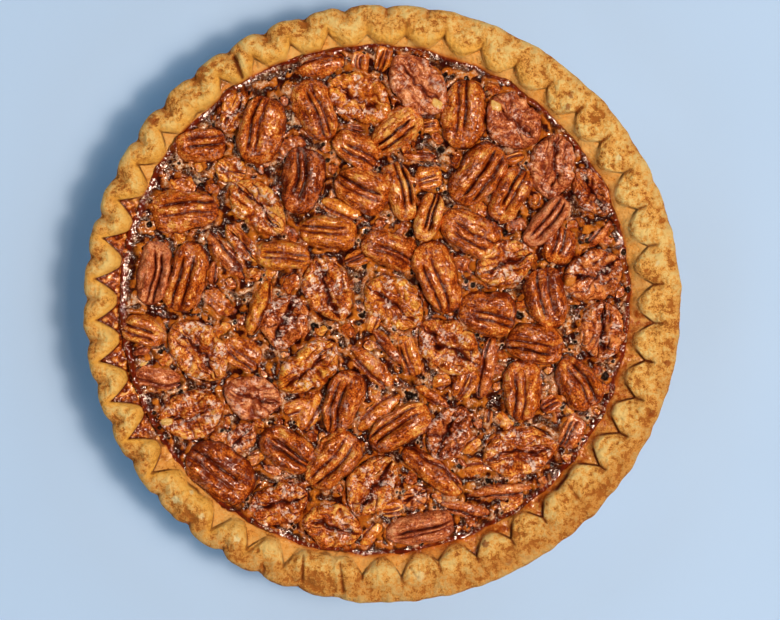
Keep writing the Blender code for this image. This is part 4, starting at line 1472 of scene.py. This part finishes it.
        # Painted shade in the outer valleys and the seams between teeth; the outer edge browner and the south
        # side darker
        valley = bell((1.0 - phase) * 4.1, 1.7) * ease((radius - 118.0) / 6.0) * (0.35 + 0.65 * deep)
        seam = bell(phase * 4.1, 1.3) * ease((radius - root + 1.0) / 2.0) * ease((root + 8.0 - radius) / 6.0)
        rim = ease((radius - 121.5) / 5.5)
        southern_darkening = ease((facing(angle, 280.0) - 0.1) / 0.9)
        sticky = ease((facing(angle, 320.0) - 0.64) / 0.26)
        browning_and_shade = valley + 0.6 * seam + 0.45 * rim + southern_darkening * (0.30 + 0.75 * ease((radius - 115.0) / 8.0))
        return {
            "browning_and_shade": unit(browning_and_shade),
            "pocket": pocket,
            "line": line,
            "stain": np.exp(-np.clip(out - 0.2, 0.0, FAR) / (0.60 + 0.65 * east)),
            "flake": self._flakes(radius, angle),
            "syrup": np.maximum(syrup, 0.7 * north),
            "amber": sticky * ease((1.2 - off) / 1.4),
            "lit_tips": lit_tips,
        }


@dataclass(frozen=True)
class CrustFinish:
    """Baked pastry: golden and mottled, with painted light on its crests and tips, painted shade in its
    creases and folds, a browner outer edge, and stains of the syrup.
    """

    pale: Colour = srgb(255, 213, 130)
    golden: Colour = srgb(247, 176, 84)
    brown: Colour = srgb(180, 103, 38)
    dark: Colour = srgb(92, 30, 8)
    yellow: Colour = srgb(255, 184, 74)
    amber: Colour = srgb(212, 106, 26)
    syrup: Colour = srgb(118, 32, 4)
    wall: Colour = srgb(246, 160, 64)
    flake: Colour = srgb(255, 226, 160)
    scorch: Colour = srgb(150, 62, 20)
    glint: Colour = srgb(250, 200, 168)
    tint: Colour = (1.0, 0.84, 0.74)

    def material(self, name: str) -> bpy.types.Material:
        """The crust's nodes.

        Args:
            name: the material's name.

        Returns:
            The material.
        """
        graph = Graph(name, self.golden)
        patch = graph.noise(80.0, 3.0, 0.6)
        mottle = graph.noise(330.0, 4.0, 0.7)
        speck = graph.noise(1300.0, 3.0, 0.7)
        pores = graph.cells(620.0, graph.warped(420.0, 0.0012))
        pocket, line, stain, syrup, amber = graph.attributes("pocket", "line", "stain", "syrup", "amber")
        lit_tips, crest, browning_and_shade, flake = graph.attributes("lit_tips", "crest", "browning_and_shade", "flake")
        tone = 0.60 + 3.0 * (mottle - 0.5) + 2.0 * (patch - 0.5) + 1.6 * (speck - 0.5) + 0.20 * pocket
        # Crests lighter and folds darker: painted light and shade
        tone = (tone + 0.20 * crest - 0.22 * browning_and_shade).clamp()
        drip = mottle + 0.10 * crest
        glaze = graph.paint(
            self.syrup,
            (drip.ramp(0.46, 0.60), self.amber),
            (drip.ramp(0.60, 0.68), self.golden),
            (speck.ramp(0.56, 0.66) * patch.ramp(0.45, 0.60) * 0.7, self.glint),
        )
        soaked = (stain.ramp(0.35, 0.90) + (mottle - 0.55)).clamp() * stain.ramp(0.2, 0.5)
        colour = graph.paint(
            self.brown,
            (tone.ramp(0.05, 0.50), self.golden),
            (tone.ramp(0.50, 0.95), self.pale),
            # Painted shade in valleys and seams, with a browner outer edge
            (browning_and_shade * (0.30 + 1.2 * (mottle - 0.4)), self.brown),
            # Painted light on the teeth's tips
            (lit_tips * 0.8 * mottle.ramp(0.1, 0.6), self.yellow),
            (pocket * (0.45 + 2.0 * (mottle - 0.5)), self.wall),
            (flake.ramp(0.2, 0.9) * 0.85, self.flake),
            ((0.0 - flake).ramp(0.2, 0.9) * (0.35 + 0.8 * mottle), self.scorch),
            (amber * (0.65 + 4.5 * (mottle - 0.5) + 3.0 * (patch - 0.5)), self.amber),
            (amber * (1.6 * (patch - 0.42) + 3.5 * (mottle - 0.5)), self.syrup),
            (stain.ramp(0.05, 0.45) * (0.8 + 1.2 * (mottle - 0.5)), self.amber),
            (soaked, self.syrup),
            (syrup * (1.0 + 0.5 * (mottle - 0.5)), glaze),
            # Painted shade in the creases and along the notches
            (line * 1.1 - 0.05, self.dark),
        )
        dough = graph.bump(1.4 * mottle + 0.8 * speck + 0.3 * pores.clamp(), 0.0012, 0.8)
        waves = graph.bump(graph.noise(420.0, 0.0, 0.5) + 0.6 * graph.noise(800.0, 0.0, 0.5), 0.0006, 1.0)
        matt = (0.58 + 0.25 * (speck - 0.5)).clamp(), dough, 0.10
        glossy = (0.14 + 0.15 * (speck - 0.5)).clamp(), waves, self.tint
        return graph.coated(colour, matt, glossy, (syrup + 0.8 * stain + 0.5 * amber).clamp())


# A distance at which the nearness of an edge no longer shows
FAR = 50.0


@dataclass
class Filling:
    """The set filling: a foamy, bubbled sheet between the nuts that climbs a little at each edge.

    It ends at the rim and climbs at the spots; the power is that of the nuts' outlines.
    """

    rim: Rim
    spots: tuple[Spot, ...]
    cells: int = 310
    level: float = 35.1
    floor: float = 5.6
    floor_radius: float = 88.4
    little_bubbles: int = 190
    bubble_reach: float = 108.0
    power: float = 2.4

    def __post_init__(self) -> None:
        """Scatter the little bubbles."""
        self.swell = WaveNoise(51, 16.0)
        self.lump = WaveNoise(52, 5.0)
        self.froth = WaveNoise(53, 2.4)
        self.patchy = WaveNoise(54, 13.0)
        self.chunks = WaveNoise(56, 7.5)
        rng = np.random.default_rng(55)
        turn = rng.uniform(0.0, 2.0 * np.pi, self.little_bubbles)
        reach = self.bubble_reach * np.sqrt(rng.uniform(0.0, 1.0, self.little_bubbles))
        width = rng.uniform(1.2, 3.0, self.little_bubbles)
        self.little = np.stack([*flat(reach, turn), width], -1)

    def gap_to_nuts(self, x: Array, y: Array) -> Array:
        """Distance to the nearest nut's outline, a superellipse; negative inside.

        Args:
            x, y: places on the pie.

        Returns:
            The distances.
        """
        nearest = np.full(x.shape, np.inf)
        for spot in self.spots:
            turn = math.radians(spot.heading)
            dx = x - spot.x
            dy = y - spot.y
            a = (dx * math.cos(turn) + dy * math.sin(turn)) / (spot.length / 2.0)
            c = (dy * math.cos(turn) - dx * math.sin(turn)) / (spot.width / 2.0)
            level = (np.abs(a) ** self.power + np.abs(c) ** self.power) ** (1.0 / self.power)
            nearest = np.minimum(nearest, (level - 1.0) * spot.width / 2.0)
        return nearest

    def _foam(self, x: Array, y: Array) -> Array:
        """How foamy the sheet is, 0 to 1.

        Args:
            x, y: places on the pie.

        Returns:
            The foaminess.
        """
        foam = 0.40 + 0.45 * self.patchy(x, y)
        for east, north, reach in FOAM_PATCHES:
            foam = foam + 0.9 * bell(np.hypot(x - east, y - north), reach)
        return unit(foam)

    def _bubbles(self, x: Array, y: Array) -> Pair:
        """Depth of the bubble holes, with raised lips, and how deep in one each point is.

        A hole of width w is 1 - (away / (w / 2))^2 deep inside, and a bell round it makes the lip.

        Args:
            x, y: places on the pie.

        Returns:
            The depths, and how deep in a hole, 0 to 1.
        """
        depth = np.zeros(x.shape)
        inside = np.zeros(x.shape)
        uneven = 1.0 + 0.13 * self.froth(x, y)
        for east, north, width in (*BUBBLES, *self.little):
            away = np.hypot(x - east, y - north) / (width / 2.0) * uneven
            deep = min(1.2, 0.55 * width)
            depth = depth + deep * unit(1.0 - away**2) - 0.30 * deep * bell(away - 1.2, 0.3)
            inside = np.maximum(inside, unit(1.3 - away))
        return depth, inside

    def height(self, x: Array, y: Array) -> tuple[Array, dict]:
        """Height of the sheet and the values kept on the mesh.

        Args:
            x, y: places on the pie.

        Returns:
            The heights, and the values by name.
        """
        angle = np.arctan2(y, x)
        radius = np.hypot(x, y)
        to_edge = self.rim.filling(angle) - radius
        gap = self.gap_to_nuts(x, y)
        foam = self._foam(x, y)
        depth, inside = self._bubbles(x, y)
        free = ease(gap / 1.5 + 0.3)
        chunk = ease((self.chunks(x, y) - 0.15) / 0.5) * free * ease(to_edge / 5.0)
        inside_edge = np.clip(to_edge, 0.0, FAR)
        west = ease((-np.cos(angle + 0.15) - 0.72) / 0.2)
        calm = 1.0 - 0.6 * np.exp(-((inside_edge / (1.5 + 3.5 * west)) ** 2))
        rough = 0.24 * self.lump(x, y) + (0.04 + 0.11 * foam) * self.froth(x, y)
        z = self.level + 0.30 * self.swell(x, y) + rough * free * calm + 1.3 * chunk
        climb = 1.5 + 0.6 * self.lump(x + 50.0, y)
        z = z + climb * np.exp(-np.clip(gap, 0.0, FAR) / 1.1) - 0.5 * ease((gap - 0.8) / 2.5)
        z = z - 2.0 * ease((-0.8 - gap) / 1.2)
        z = np.where(gap < -2.0, self.level - 0.2, z)
        z = z + (0.9 + 0.7 * west) * np.exp(-inside_edge / (1.2 + 2.4 * west)) - depth * free
        z = np.where(to_edge < -1.0, z - 0.5 * (-1.0 - to_edge), z)
        # Darker beside the nuts and along the crust: partly wet syrup, partly painted shade
        wet_and_shade = np.maximum(np.exp(-np.clip(gap, 0.0, FAR) / 0.8), 0.6 * np.exp(-inside_edge / 3.0))
        edge = np.exp(-((inside_edge / (0.7 + 0.6 * west)) ** 2))
        values = {"foam": foam * (1.0 - 0.6 * wet_and_shade) * (1.0 - 0.85 * edge), "wet_and_shade": wet_and_shade, "edge": edge}
        return z, {**values, "pit": inside, "chunk": chunk, "crest": crests(z, 3, 0.35)}

    def _disc(self) -> Pair:
        """Places of a disc of even cells: a square grid bent into a circle ring by ring.

        Returns:
            East and north of the points, rows by columns.
        """
        n = self.cells
        u, v = np.meshgrid(np.linspace(-1.0, 1.0, n + 1), np.linspace(-1.0, 1.0, n + 1), indexing="ij")
        wide = np.abs(u) > np.abs(v)
        safe_u = np.where(u == 0.0, 1.0, u)
        safe_v = np.where(v == 0.0, 1.0, v)
        reach = np.where(wide, u, v)
        turn = np.where(wide, np.pi / 4.0 * v / safe_u, np.pi / 2.0 - np.pi / 4.0 * u / safe_v)
        turn = np.where((u == 0.0) & (v == 0.0), 0.0, turn)
        x, y = flat(reach, turn)
        edge = self.rim.filling(np.arctan2(y, x)) + 1.5
        return x * edge, y * edge

    def build(self) -> bpy.types.Object:
        """The sheet, closed below by a side and a bottom that lie inside the crust.

        Returns:
            The piece.
        """
        n = self.cells
        x, y = self._disc()
        z, values = self.height(x, y)
        points = np.stack([x, y, z], -1).reshape(-1, 3)
        index = np.arange((n + 1) ** 2).reshape(n + 1, n + 1)
        quads = np.stack([index[:-1, :-1], index[1:, :-1], index[1:, 1:], index[:-1, 1:]], -1).reshape(-1, 4)
        ring = np.concatenate([index[:-1, 0], index[-1, :-1], index[:0:-1, -1], index[0, :0:-1]])
        turn = np.arctan2(points[ring, 1], points[ring, 0])
        count = len(points)
        base = np.stack([*flat(self.floor_radius, turn), np.full(len(turn), self.floor)], -1)
        below = count + np.arange(len(ring))
        after = np.roll(np.arange(len(ring)), -1)
        side = np.stack([ring, below, below[after], ring[after]], -1)
        bottom = MeshMaker.fan(below, count + len(ring), True)
        points = np.concatenate([points, base, [[0.0, 0.0, self.floor]]])
        rest = np.zeros(len(ring) + 1)
        kept = {key: np.concatenate([value.ravel(), rest]) for key, value in values.items()}
        obj = MeshMaker.build("pie_filling", points, [quads, side, bottom], kept)
        obj.data.materials.append(FillingFinish().material("pie_filling"))
        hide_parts("filling")
        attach(obj, "root")
        return obj


@dataclass(frozen=True)
class FillingFinish:
    """Set syrup: dark and glossy where clear, tan where foamy, with painted shade beside the nuts and in its
    near-black bubble holes, and painted glints near the crust.
    """

    syrup: Colour = srgb(136, 50, 8)
    deep: Colour = srgb(56, 10, 2)
    caramel: Colour = srgb(198, 106, 28)
    amber: Colour = srgb(236, 142, 42)
    foam: Colour = srgb(180, 104, 38)
    # Pale froth, also used for the painted glints near the crust
    froth: Colour = srgb(255, 222, 184)
    # Near black: painted shade inside the bubble holes
    hole: Colour = srgb(20, 4, 1)
    band: Colour = srgb(116, 30, 3)
    # Painted shade at the nuts' feet, partly wet syrup
    brink: Colour = srgb(50, 8, 2)
    tint: Colour = (1.0, 0.88, 0.80)

    def material(self, name: str) -> bpy.types.Material:
        """The filling's nodes.

        Args:
            name: the material's name.

        Returns:
            The material.
        """
        graph = Graph(name, self.syrup)
        foam, wet_and_shade, pit, edge, chunk, crest = graph.attributes("foam", "wet_and_shade", "pit", "edge", "chunk", "crest")
        warped = graph.warped(600.0, 0.0008)
        mottle = graph.noise(230.0, 4.0, 0.65)
        fine = graph.noise(1000.0, 3.0, 0.7)
        bubble = graph.cells(310.0, warped)
        small = graph.cells(1250.0, warped)
        bubbly = graph.noise(180.0, 2.0, 0.5).ramp(0.56, 0.62)
        hollow = bubble.ramp(0.28, 0.20) * bubbly
        lip = bubble.ramp(0.28, 0.33) * bubble.ramp(0.48, 0.38) * bubbly
        speckle = graph.noise(760.0, 2.0, 0.6)
        cluster = graph.noise(170.0, 3.0, 0.6)
        patch = graph.noise(95.0, 2.0, 0.5)
        # Raised places a little lighter: painted light
        tone = 0.55 * mottle + 0.45 * patch + 0.10 * crest + 0.25 * (fine - 0.5)
        nutty = graph.mix(mottle.ramp(0.45, 0.65), self.caramel, self.amber)
        thick = (foam * 0.9 + 2.8 * (cluster - 0.5) - 0.30).clamp()
        glints = edge * speckle.ramp(0.54, 0.62) * cluster.ramp(0.48, 0.58)
        rims = pit.ramp(0.02, 0.14) * cluster.ramp(0.46, 0.56) * fine.ramp(0.40, 0.60)
        colour = graph.paint(
            self.deep,
            (tone.ramp(0.455, 0.545), self.syrup),
            (tone.ramp(0.52, 0.62), self.caramel),
            (chunk * (0.6 + 3.0 * (fine - 0.5)), nutty),
            (thick * speckle.ramp(0.42, 0.52) * 0.7, self.foam),
            (thick * (speckle + 0.14 * crest).ramp(0.56, 0.63), self.froth),
            (lip * 0.5 * fine.ramp(0.4, 0.6), self.froth),
            (thick * small.ramp(0.55, 0.75) * 0.5, self.froth),
            # Painted shade in small holes that only the bump draws
            (hollow * 0.95, self.hole),
            (edge * (1.3 + 1.8 * (mottle - 0.5)), self.band),
            (glints * 0.8, self.froth),
            # Painted shade at the nuts' feet, partly wet syrup
            (wet_and_shade * (0.55 + 3.4 * (mottle - 0.5)) - 0.45 * crest, self.brink),
            (rims * 0.5, self.froth),
            # Painted shade inside the bubble holes
            (pit.ramp(0.24, 0.55) * 0.97, self.hole),
        )
        height = 0.6 * lip - 0.4 * hollow + 0.3 * small.clamp() + 0.7 * fine + mottle
        bead = graph.cells(950.0, warped)
        pebble = graph.cells(400.0, warped)
        film = bead * bead * (0.3 + 0.9 * cluster.ramp(0.42, 0.56)) + 0.8 * pebble * pebble
        film = (film + 0.5 * graph.noise(260.0, 0.0, 0.5)) * (1.0 - 0.5 * edge) - 0.5 * hollow
        rough = (0.08 + 0.06 * foam + 0.10 * (fine - 0.5)).clamp()
        matt = rough + 0.4, graph.bump(height, 0.0006, 1.0), 0.03
        glossy = rough, graph.bump(film, 0.00025, 1.0), self.tint
        shiny = (graph.noise(260.0, 2.0, 0.5).ramp(0.40, 0.52) + edge).clamp()
        return graph.coated(colour, matt, glossy, shiny * (1.0 - 0.6 * pit.ramp(0.2, 0.6)))


@dataclass
class Nuts:
    """All the nuts: a piece for each half on the filling, and one for the sunk pieces of each finish."""

    rim: Rim
    chip_tries: int = 1500
    chip_reach: float = 104.0
    chip_room: float = 1.0
    chip_overlap: float = 2.6
    widest_chip: float = 10.0
    half_seed: int = 100
    sunk_seed: int = 300
    sunk_by: float = 0.2

    def __post_init__(self) -> None:
        """Make the skins' materials and scatter the chips on the filling, which ends at the rim."""
        self.materials = {}
        for finish, look in FINISHES.items():
            self.materials[finish] = look.material("skin_" + finish.name.lower())
        self.chips = self._scatter(Filling(self.rim, HALVES + SUNK))

    def _scatter(self, sheet: Filling) -> tuple[Spot, ...]:
        """Broken bits sunk in the gaps: each try keeps a place that is wide enough and free of other bits.

        Args:
            sheet: the filling round the larger nuts.

        Returns:
            The bits.
        """
        rng = np.random.default_rng(77)
        reach = self.chip_reach * np.sqrt(rng.uniform(0.0, 1.0, self.chip_tries))
        turn = rng.uniform(0.0, 2.0 * np.pi, self.chip_tries)
        x, y = flat(reach, turn)
        room = np.minimum(sheet.gap_to_nuts(x, y), self.rim.filling(turn) - reach)
        chips = []
        for i in np.flatnonzero(room > self.chip_room):
            width = min(self.widest_chip, 2.0 * room[i] + self.chip_overlap) * rng.uniform(0.85, 1.1)
            if any(math.hypot(x[i] - chip.x, y[i] - chip.y) < 0.55 * (width + chip.width) for chip in chips):
                continue
            finish = rng.choice([AMBER, GLAZED, GLAZED, DARK])
            length = width * rng.uniform(1.1, 1.8)
            rise = rng.uniform(1.4, 2.8)
            heading = rng.uniform(0.0, 360.0)
            chips.append(Spot(Form.CHIP, finish, x[i], y[i], heading, length, width, 0.0, rise))
        return tuple(chips)

    def _dress(self, obj: bpy.types.Object, finish: Finish, node: str) -> None:
        """Give a piece its material, hide the node that it replaces and set it in its body.

        Args:
            obj: the piece.
            finish: its skin.
            node: the node that it replaces.
        """
        obj.data.materials.append(self.materials[finish])
        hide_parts(node)
        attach(obj, "root")

    def build(self) -> int:
        """Make every nut.

        Returns:
            How many there are.
        """
        for number, spot in enumerate(HALVES, start=1):
            half = PecanHalf(spot, self.half_seed + number, Filling.level)
            obj = MeshMaker.build("nut_%02d" % number, *half.parts())
            self._dress(obj, spot.finish, "pecan_%02d" % number)
        sunk = SUNK + self.chips + KNOBS
        for finish in Finish:
            group = [(i, spot) for i, spot in enumerate(sunk) if spot.finish is finish]
            self._join("sunk_" + finish.name.lower(), group, finish)
        return len(HALVES) + len(sunk)

    def _join(self, name: str, group: list[tuple[int, Spot]], finish: Finish) -> None:
        """One piece from all the sunk pieces of a finish.

        Args:
            name: the piece's name.
            group: each one's number and spot.
            finish: their skin.
        """
        points, quads, triangles, kept = [], [], [], {}
        count = 0
        for i, spot in group:
            half = PecanHalf(spot, self.sunk_seed + i, Filling.level - self.sunk_by)
            places, faces, values = half.parts()
            points.append(places)
            quads.append(faces[0] + count)
            triangles.append(faces[1] + count)
            for key, value in values.items():
                kept.setdefault(key, []).append(value)
            count += len(places)
        kept = {key: np.concatenate(value) for key, value in kept.items()}
        faces = [np.concatenate(quads), np.concatenate(triangles)]
        obj = MeshMaker.build(name, np.concatenate(points), faces, kept)
        self._dress(obj, finish, "filling")


@dataclass(frozen=True)
class Tin:
    """The pie's tin: a thin pressed skin with a rolled edge."""

    columns: int = 288
    floor: float = 0.8
    roll: float = 1.25
    roll_radius: float = 124.1
    roll_height: float = 32.75
    roll_steps: int = 12
    # Radius and height of the skin's corners, from the middle out and back
    inside: tuple = (
        (60.0, 0.8), (92.5, 0.8), (94.0, 0.95), (94.9, 1.9), (105.0, 17.6),
        (114.6, 33.1), (115.6, 33.9), (116.8, 34.0), (120.5, 34.0),
    )
    outside: tuple = (
        (122.9, 33.15), (117.0, 33.2), (115.9, 32.6), (105.8, 17.2),
        (95.8, 1.5), (94.8, 0.3), (93.6, 0.0), (60.0, 0.0),
    )

    def build(self) -> bpy.types.Object:
        """Turn the section about the axis, from the inside floor over the rolled edge to the base.

        Returns:
            The piece.
        """
        section = list(self.inside)
        for turn in np.radians(np.linspace(90.0, -180.0, self.roll_steps)):
            radius = self.roll_radius + self.roll * math.cos(turn)
            section.append((radius, self.roll_height + self.roll * math.sin(turn)))
        section += self.outside
        profile = np.array(section)
        angle = np.arange(self.columns) * 2.0 * np.pi / self.columns
        radius = np.broadcast_to(profile[:, :1], (len(profile), self.columns))
        height = np.broadcast_to(profile[:, 1:], radius.shape)
        rings = np.stack([*flat(radius, angle), height], -1)
        poles = np.array([0.0, 0.0, self.floor]), np.array([0.0, 0.0, 0.0])
        obj = MeshMaker.tube("pie_tin", rings, poles[0], poles[1], {})
        obj.data.materials.append(self._metal())
        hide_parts("tin")
        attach(obj, "root")
        return obj

    @staticmethod
    def _metal() -> bpy.types.Material:
        """Thin aluminium with faint handling dents and oven stains.

        Returns:
            The material.
        """
        graph = Graph("tin_metal_look", srgb(180, 180, 182))
        dents = graph.noise(60.0, 3.0, 0.5)
        grain = graph.noise(700.0, 2.0, 0.5, graph.stretched(1.0, 1.0, 0.15))
        stain = graph.noise(40.0, 4.0, 0.6)
        colour = graph.mix(stain.ramp(0.5, 0.75), srgb(196, 196, 198), srgb(160, 152, 142))
        rough = (0.26 + 0.2 * (grain - 0.5) + 0.15 * stain).clamp()
        dented = graph.bump(dents + 0.15 * grain, 0.001, 0.5)
        skin = graph.skin(
            {"Base Color": colour, "Roughness": rough, "Normal": dented},
            {"Metallic": 1.0},
        )
        return graph.surface(skin)


class Studio:
    """Floor, light and camera."""

    MIDDLE = Vector((0.0028, -0.0024, 0.038))
    FIELD = 0.3330
    DISTANCE = 1.15
    TILT = 3.5
    TILT_TOWARDS = 150.0
    SENSOR = 36.0
    AIM = Vector((0.0, 0.0, 0.03))

    def build(self) -> None:
        """Set the stage."""
        self._floor()
        self._lamp("key", (0.928, -0.098, 2.47), 1.00, 32.0, (1.0, 0.82, 0.67))
        self._lamp("sparkle", (0.928, -0.098, 2.49), 0.36, 27.5, (1.0, 0.84, 0.71))
        sheen = self._lamp("sheen", (-0.85, 0.85, 2.2), 0.60, 15.0, (1.0, 0.92, 0.86))
        sheen.visible_diffuse = False
        for turn in (45.0, 135.0, 225.0, 315.0):
            way = math.radians(turn)
            place = (1.4 * math.cos(way), 1.4 * math.sin(way), 1.0)
            fill = self._lamp("fill_%d" % turn, place, 0.9, 4.5, (0.48, 0.79, 1.0))
            fill.visible_glossy = False
        world = bpy.data.worlds.new("soft_light")
        world.use_nodes = True
        shade = world.node_tree.nodes["Background"]
        shade.inputs["Color"].default_value = (1.0, 0.96, 0.92, 1.0)
        shade.inputs["Strength"].default_value = 0.04
        bpy.context.scene.world = world
        bpy.context.scene.view_settings.view_transform = "Standard"
        self._camera()

    @staticmethod
    def _floor() -> None:
        """A plain pale floor."""
        bpy.ops.mesh.primitive_plane_add(size=6.0, location=(0.0, 0.0, 0.0))
        floor = bpy.context.object
        floor.name = "floor"
        graph = Graph("floor_paint", (0.52, 0.69, 0.92))
        cloud = graph.noise(9.0, 2.0, 0.5)
        colour = graph.mix(cloud, (0.50, 0.67, 0.90), (0.54, 0.71, 0.94))
        skin = graph.skin({"Base Color": colour}, {"Roughness": 0.75, "Specular IOR Level": 0.2})
        floor.data.materials.append(graph.surface(skin))

    @classmethod
    def _lamp(cls, name: str, place: tuple, size: float, power: float, colour: tuple) -> bpy.types.Object:
        """A square soft light aimed at the pie.

        Args:
            name: its name.
            place: its middle, metres.
            size: its side, metres.
            power: its power, watts.
            colour: its colour.

        Returns:
            The light.
        """
        data = bpy.data.lights.new(name, "AREA")
        data.shape = "SQUARE"
        data.size = size
        data.energy = power
        data.color = colour
        lamp = bpy.data.objects.new(name, data)
        lamp.location = place
        lamp.rotation_euler = (cls.AIM - Vector(place)).to_track_quat("-Z", "Y").to_euler()
        bpy.context.scene.collection.objects.link(lamp)
        return lamp

    def _camera(self) -> None:
        """Nearly straight above, leaning a little to the upper left, north up."""
        tilt = math.radians(self.TILT)
        way = math.radians(self.TILT_TOWARDS)
        back = Vector((math.sin(tilt) * math.cos(way), math.sin(tilt) * math.sin(way), math.cos(tilt)))
        up = Vector((0.0, 1.0, 0.0))
        right = up.cross(back).normalized()
        up = back.cross(right)
        data = bpy.data.cameras.new("camera")
        data.sensor_width = self.SENSOR
        data.lens = self.SENSOR * self.DISTANCE / self.FIELD
        camera = bpy.data.objects.new("camera", data)
        turn = Matrix((right, up, back)).transposed().to_4x4()
        camera.matrix_world = Matrix.Translation(self.MIDDLE + back * self.DISTANCE) @ turn
        bpy.context.scene.collection.objects.link(camera)
        bpy.context.scene.camera = camera


def main() -> None:
    """Build every piece, the light, the floor and the camera."""
    logging.basicConfig(level=logging.INFO, format="%(message)s")
    size = CrustSize()
    rim = Rim(size)
    nuts = Nuts(rim)
    for builder in (Tin(), Crust(size, rim), Filling(rim, HALVES + SUNK + nuts.chips)):
        obj = builder.build()
        LOG.info("%s: %d faces", obj.name, len(obj.data.polygons))
    LOG.info("nuts: %d", nuts.build())
    Studio().build()


if __name__ == "__main__":
    main()
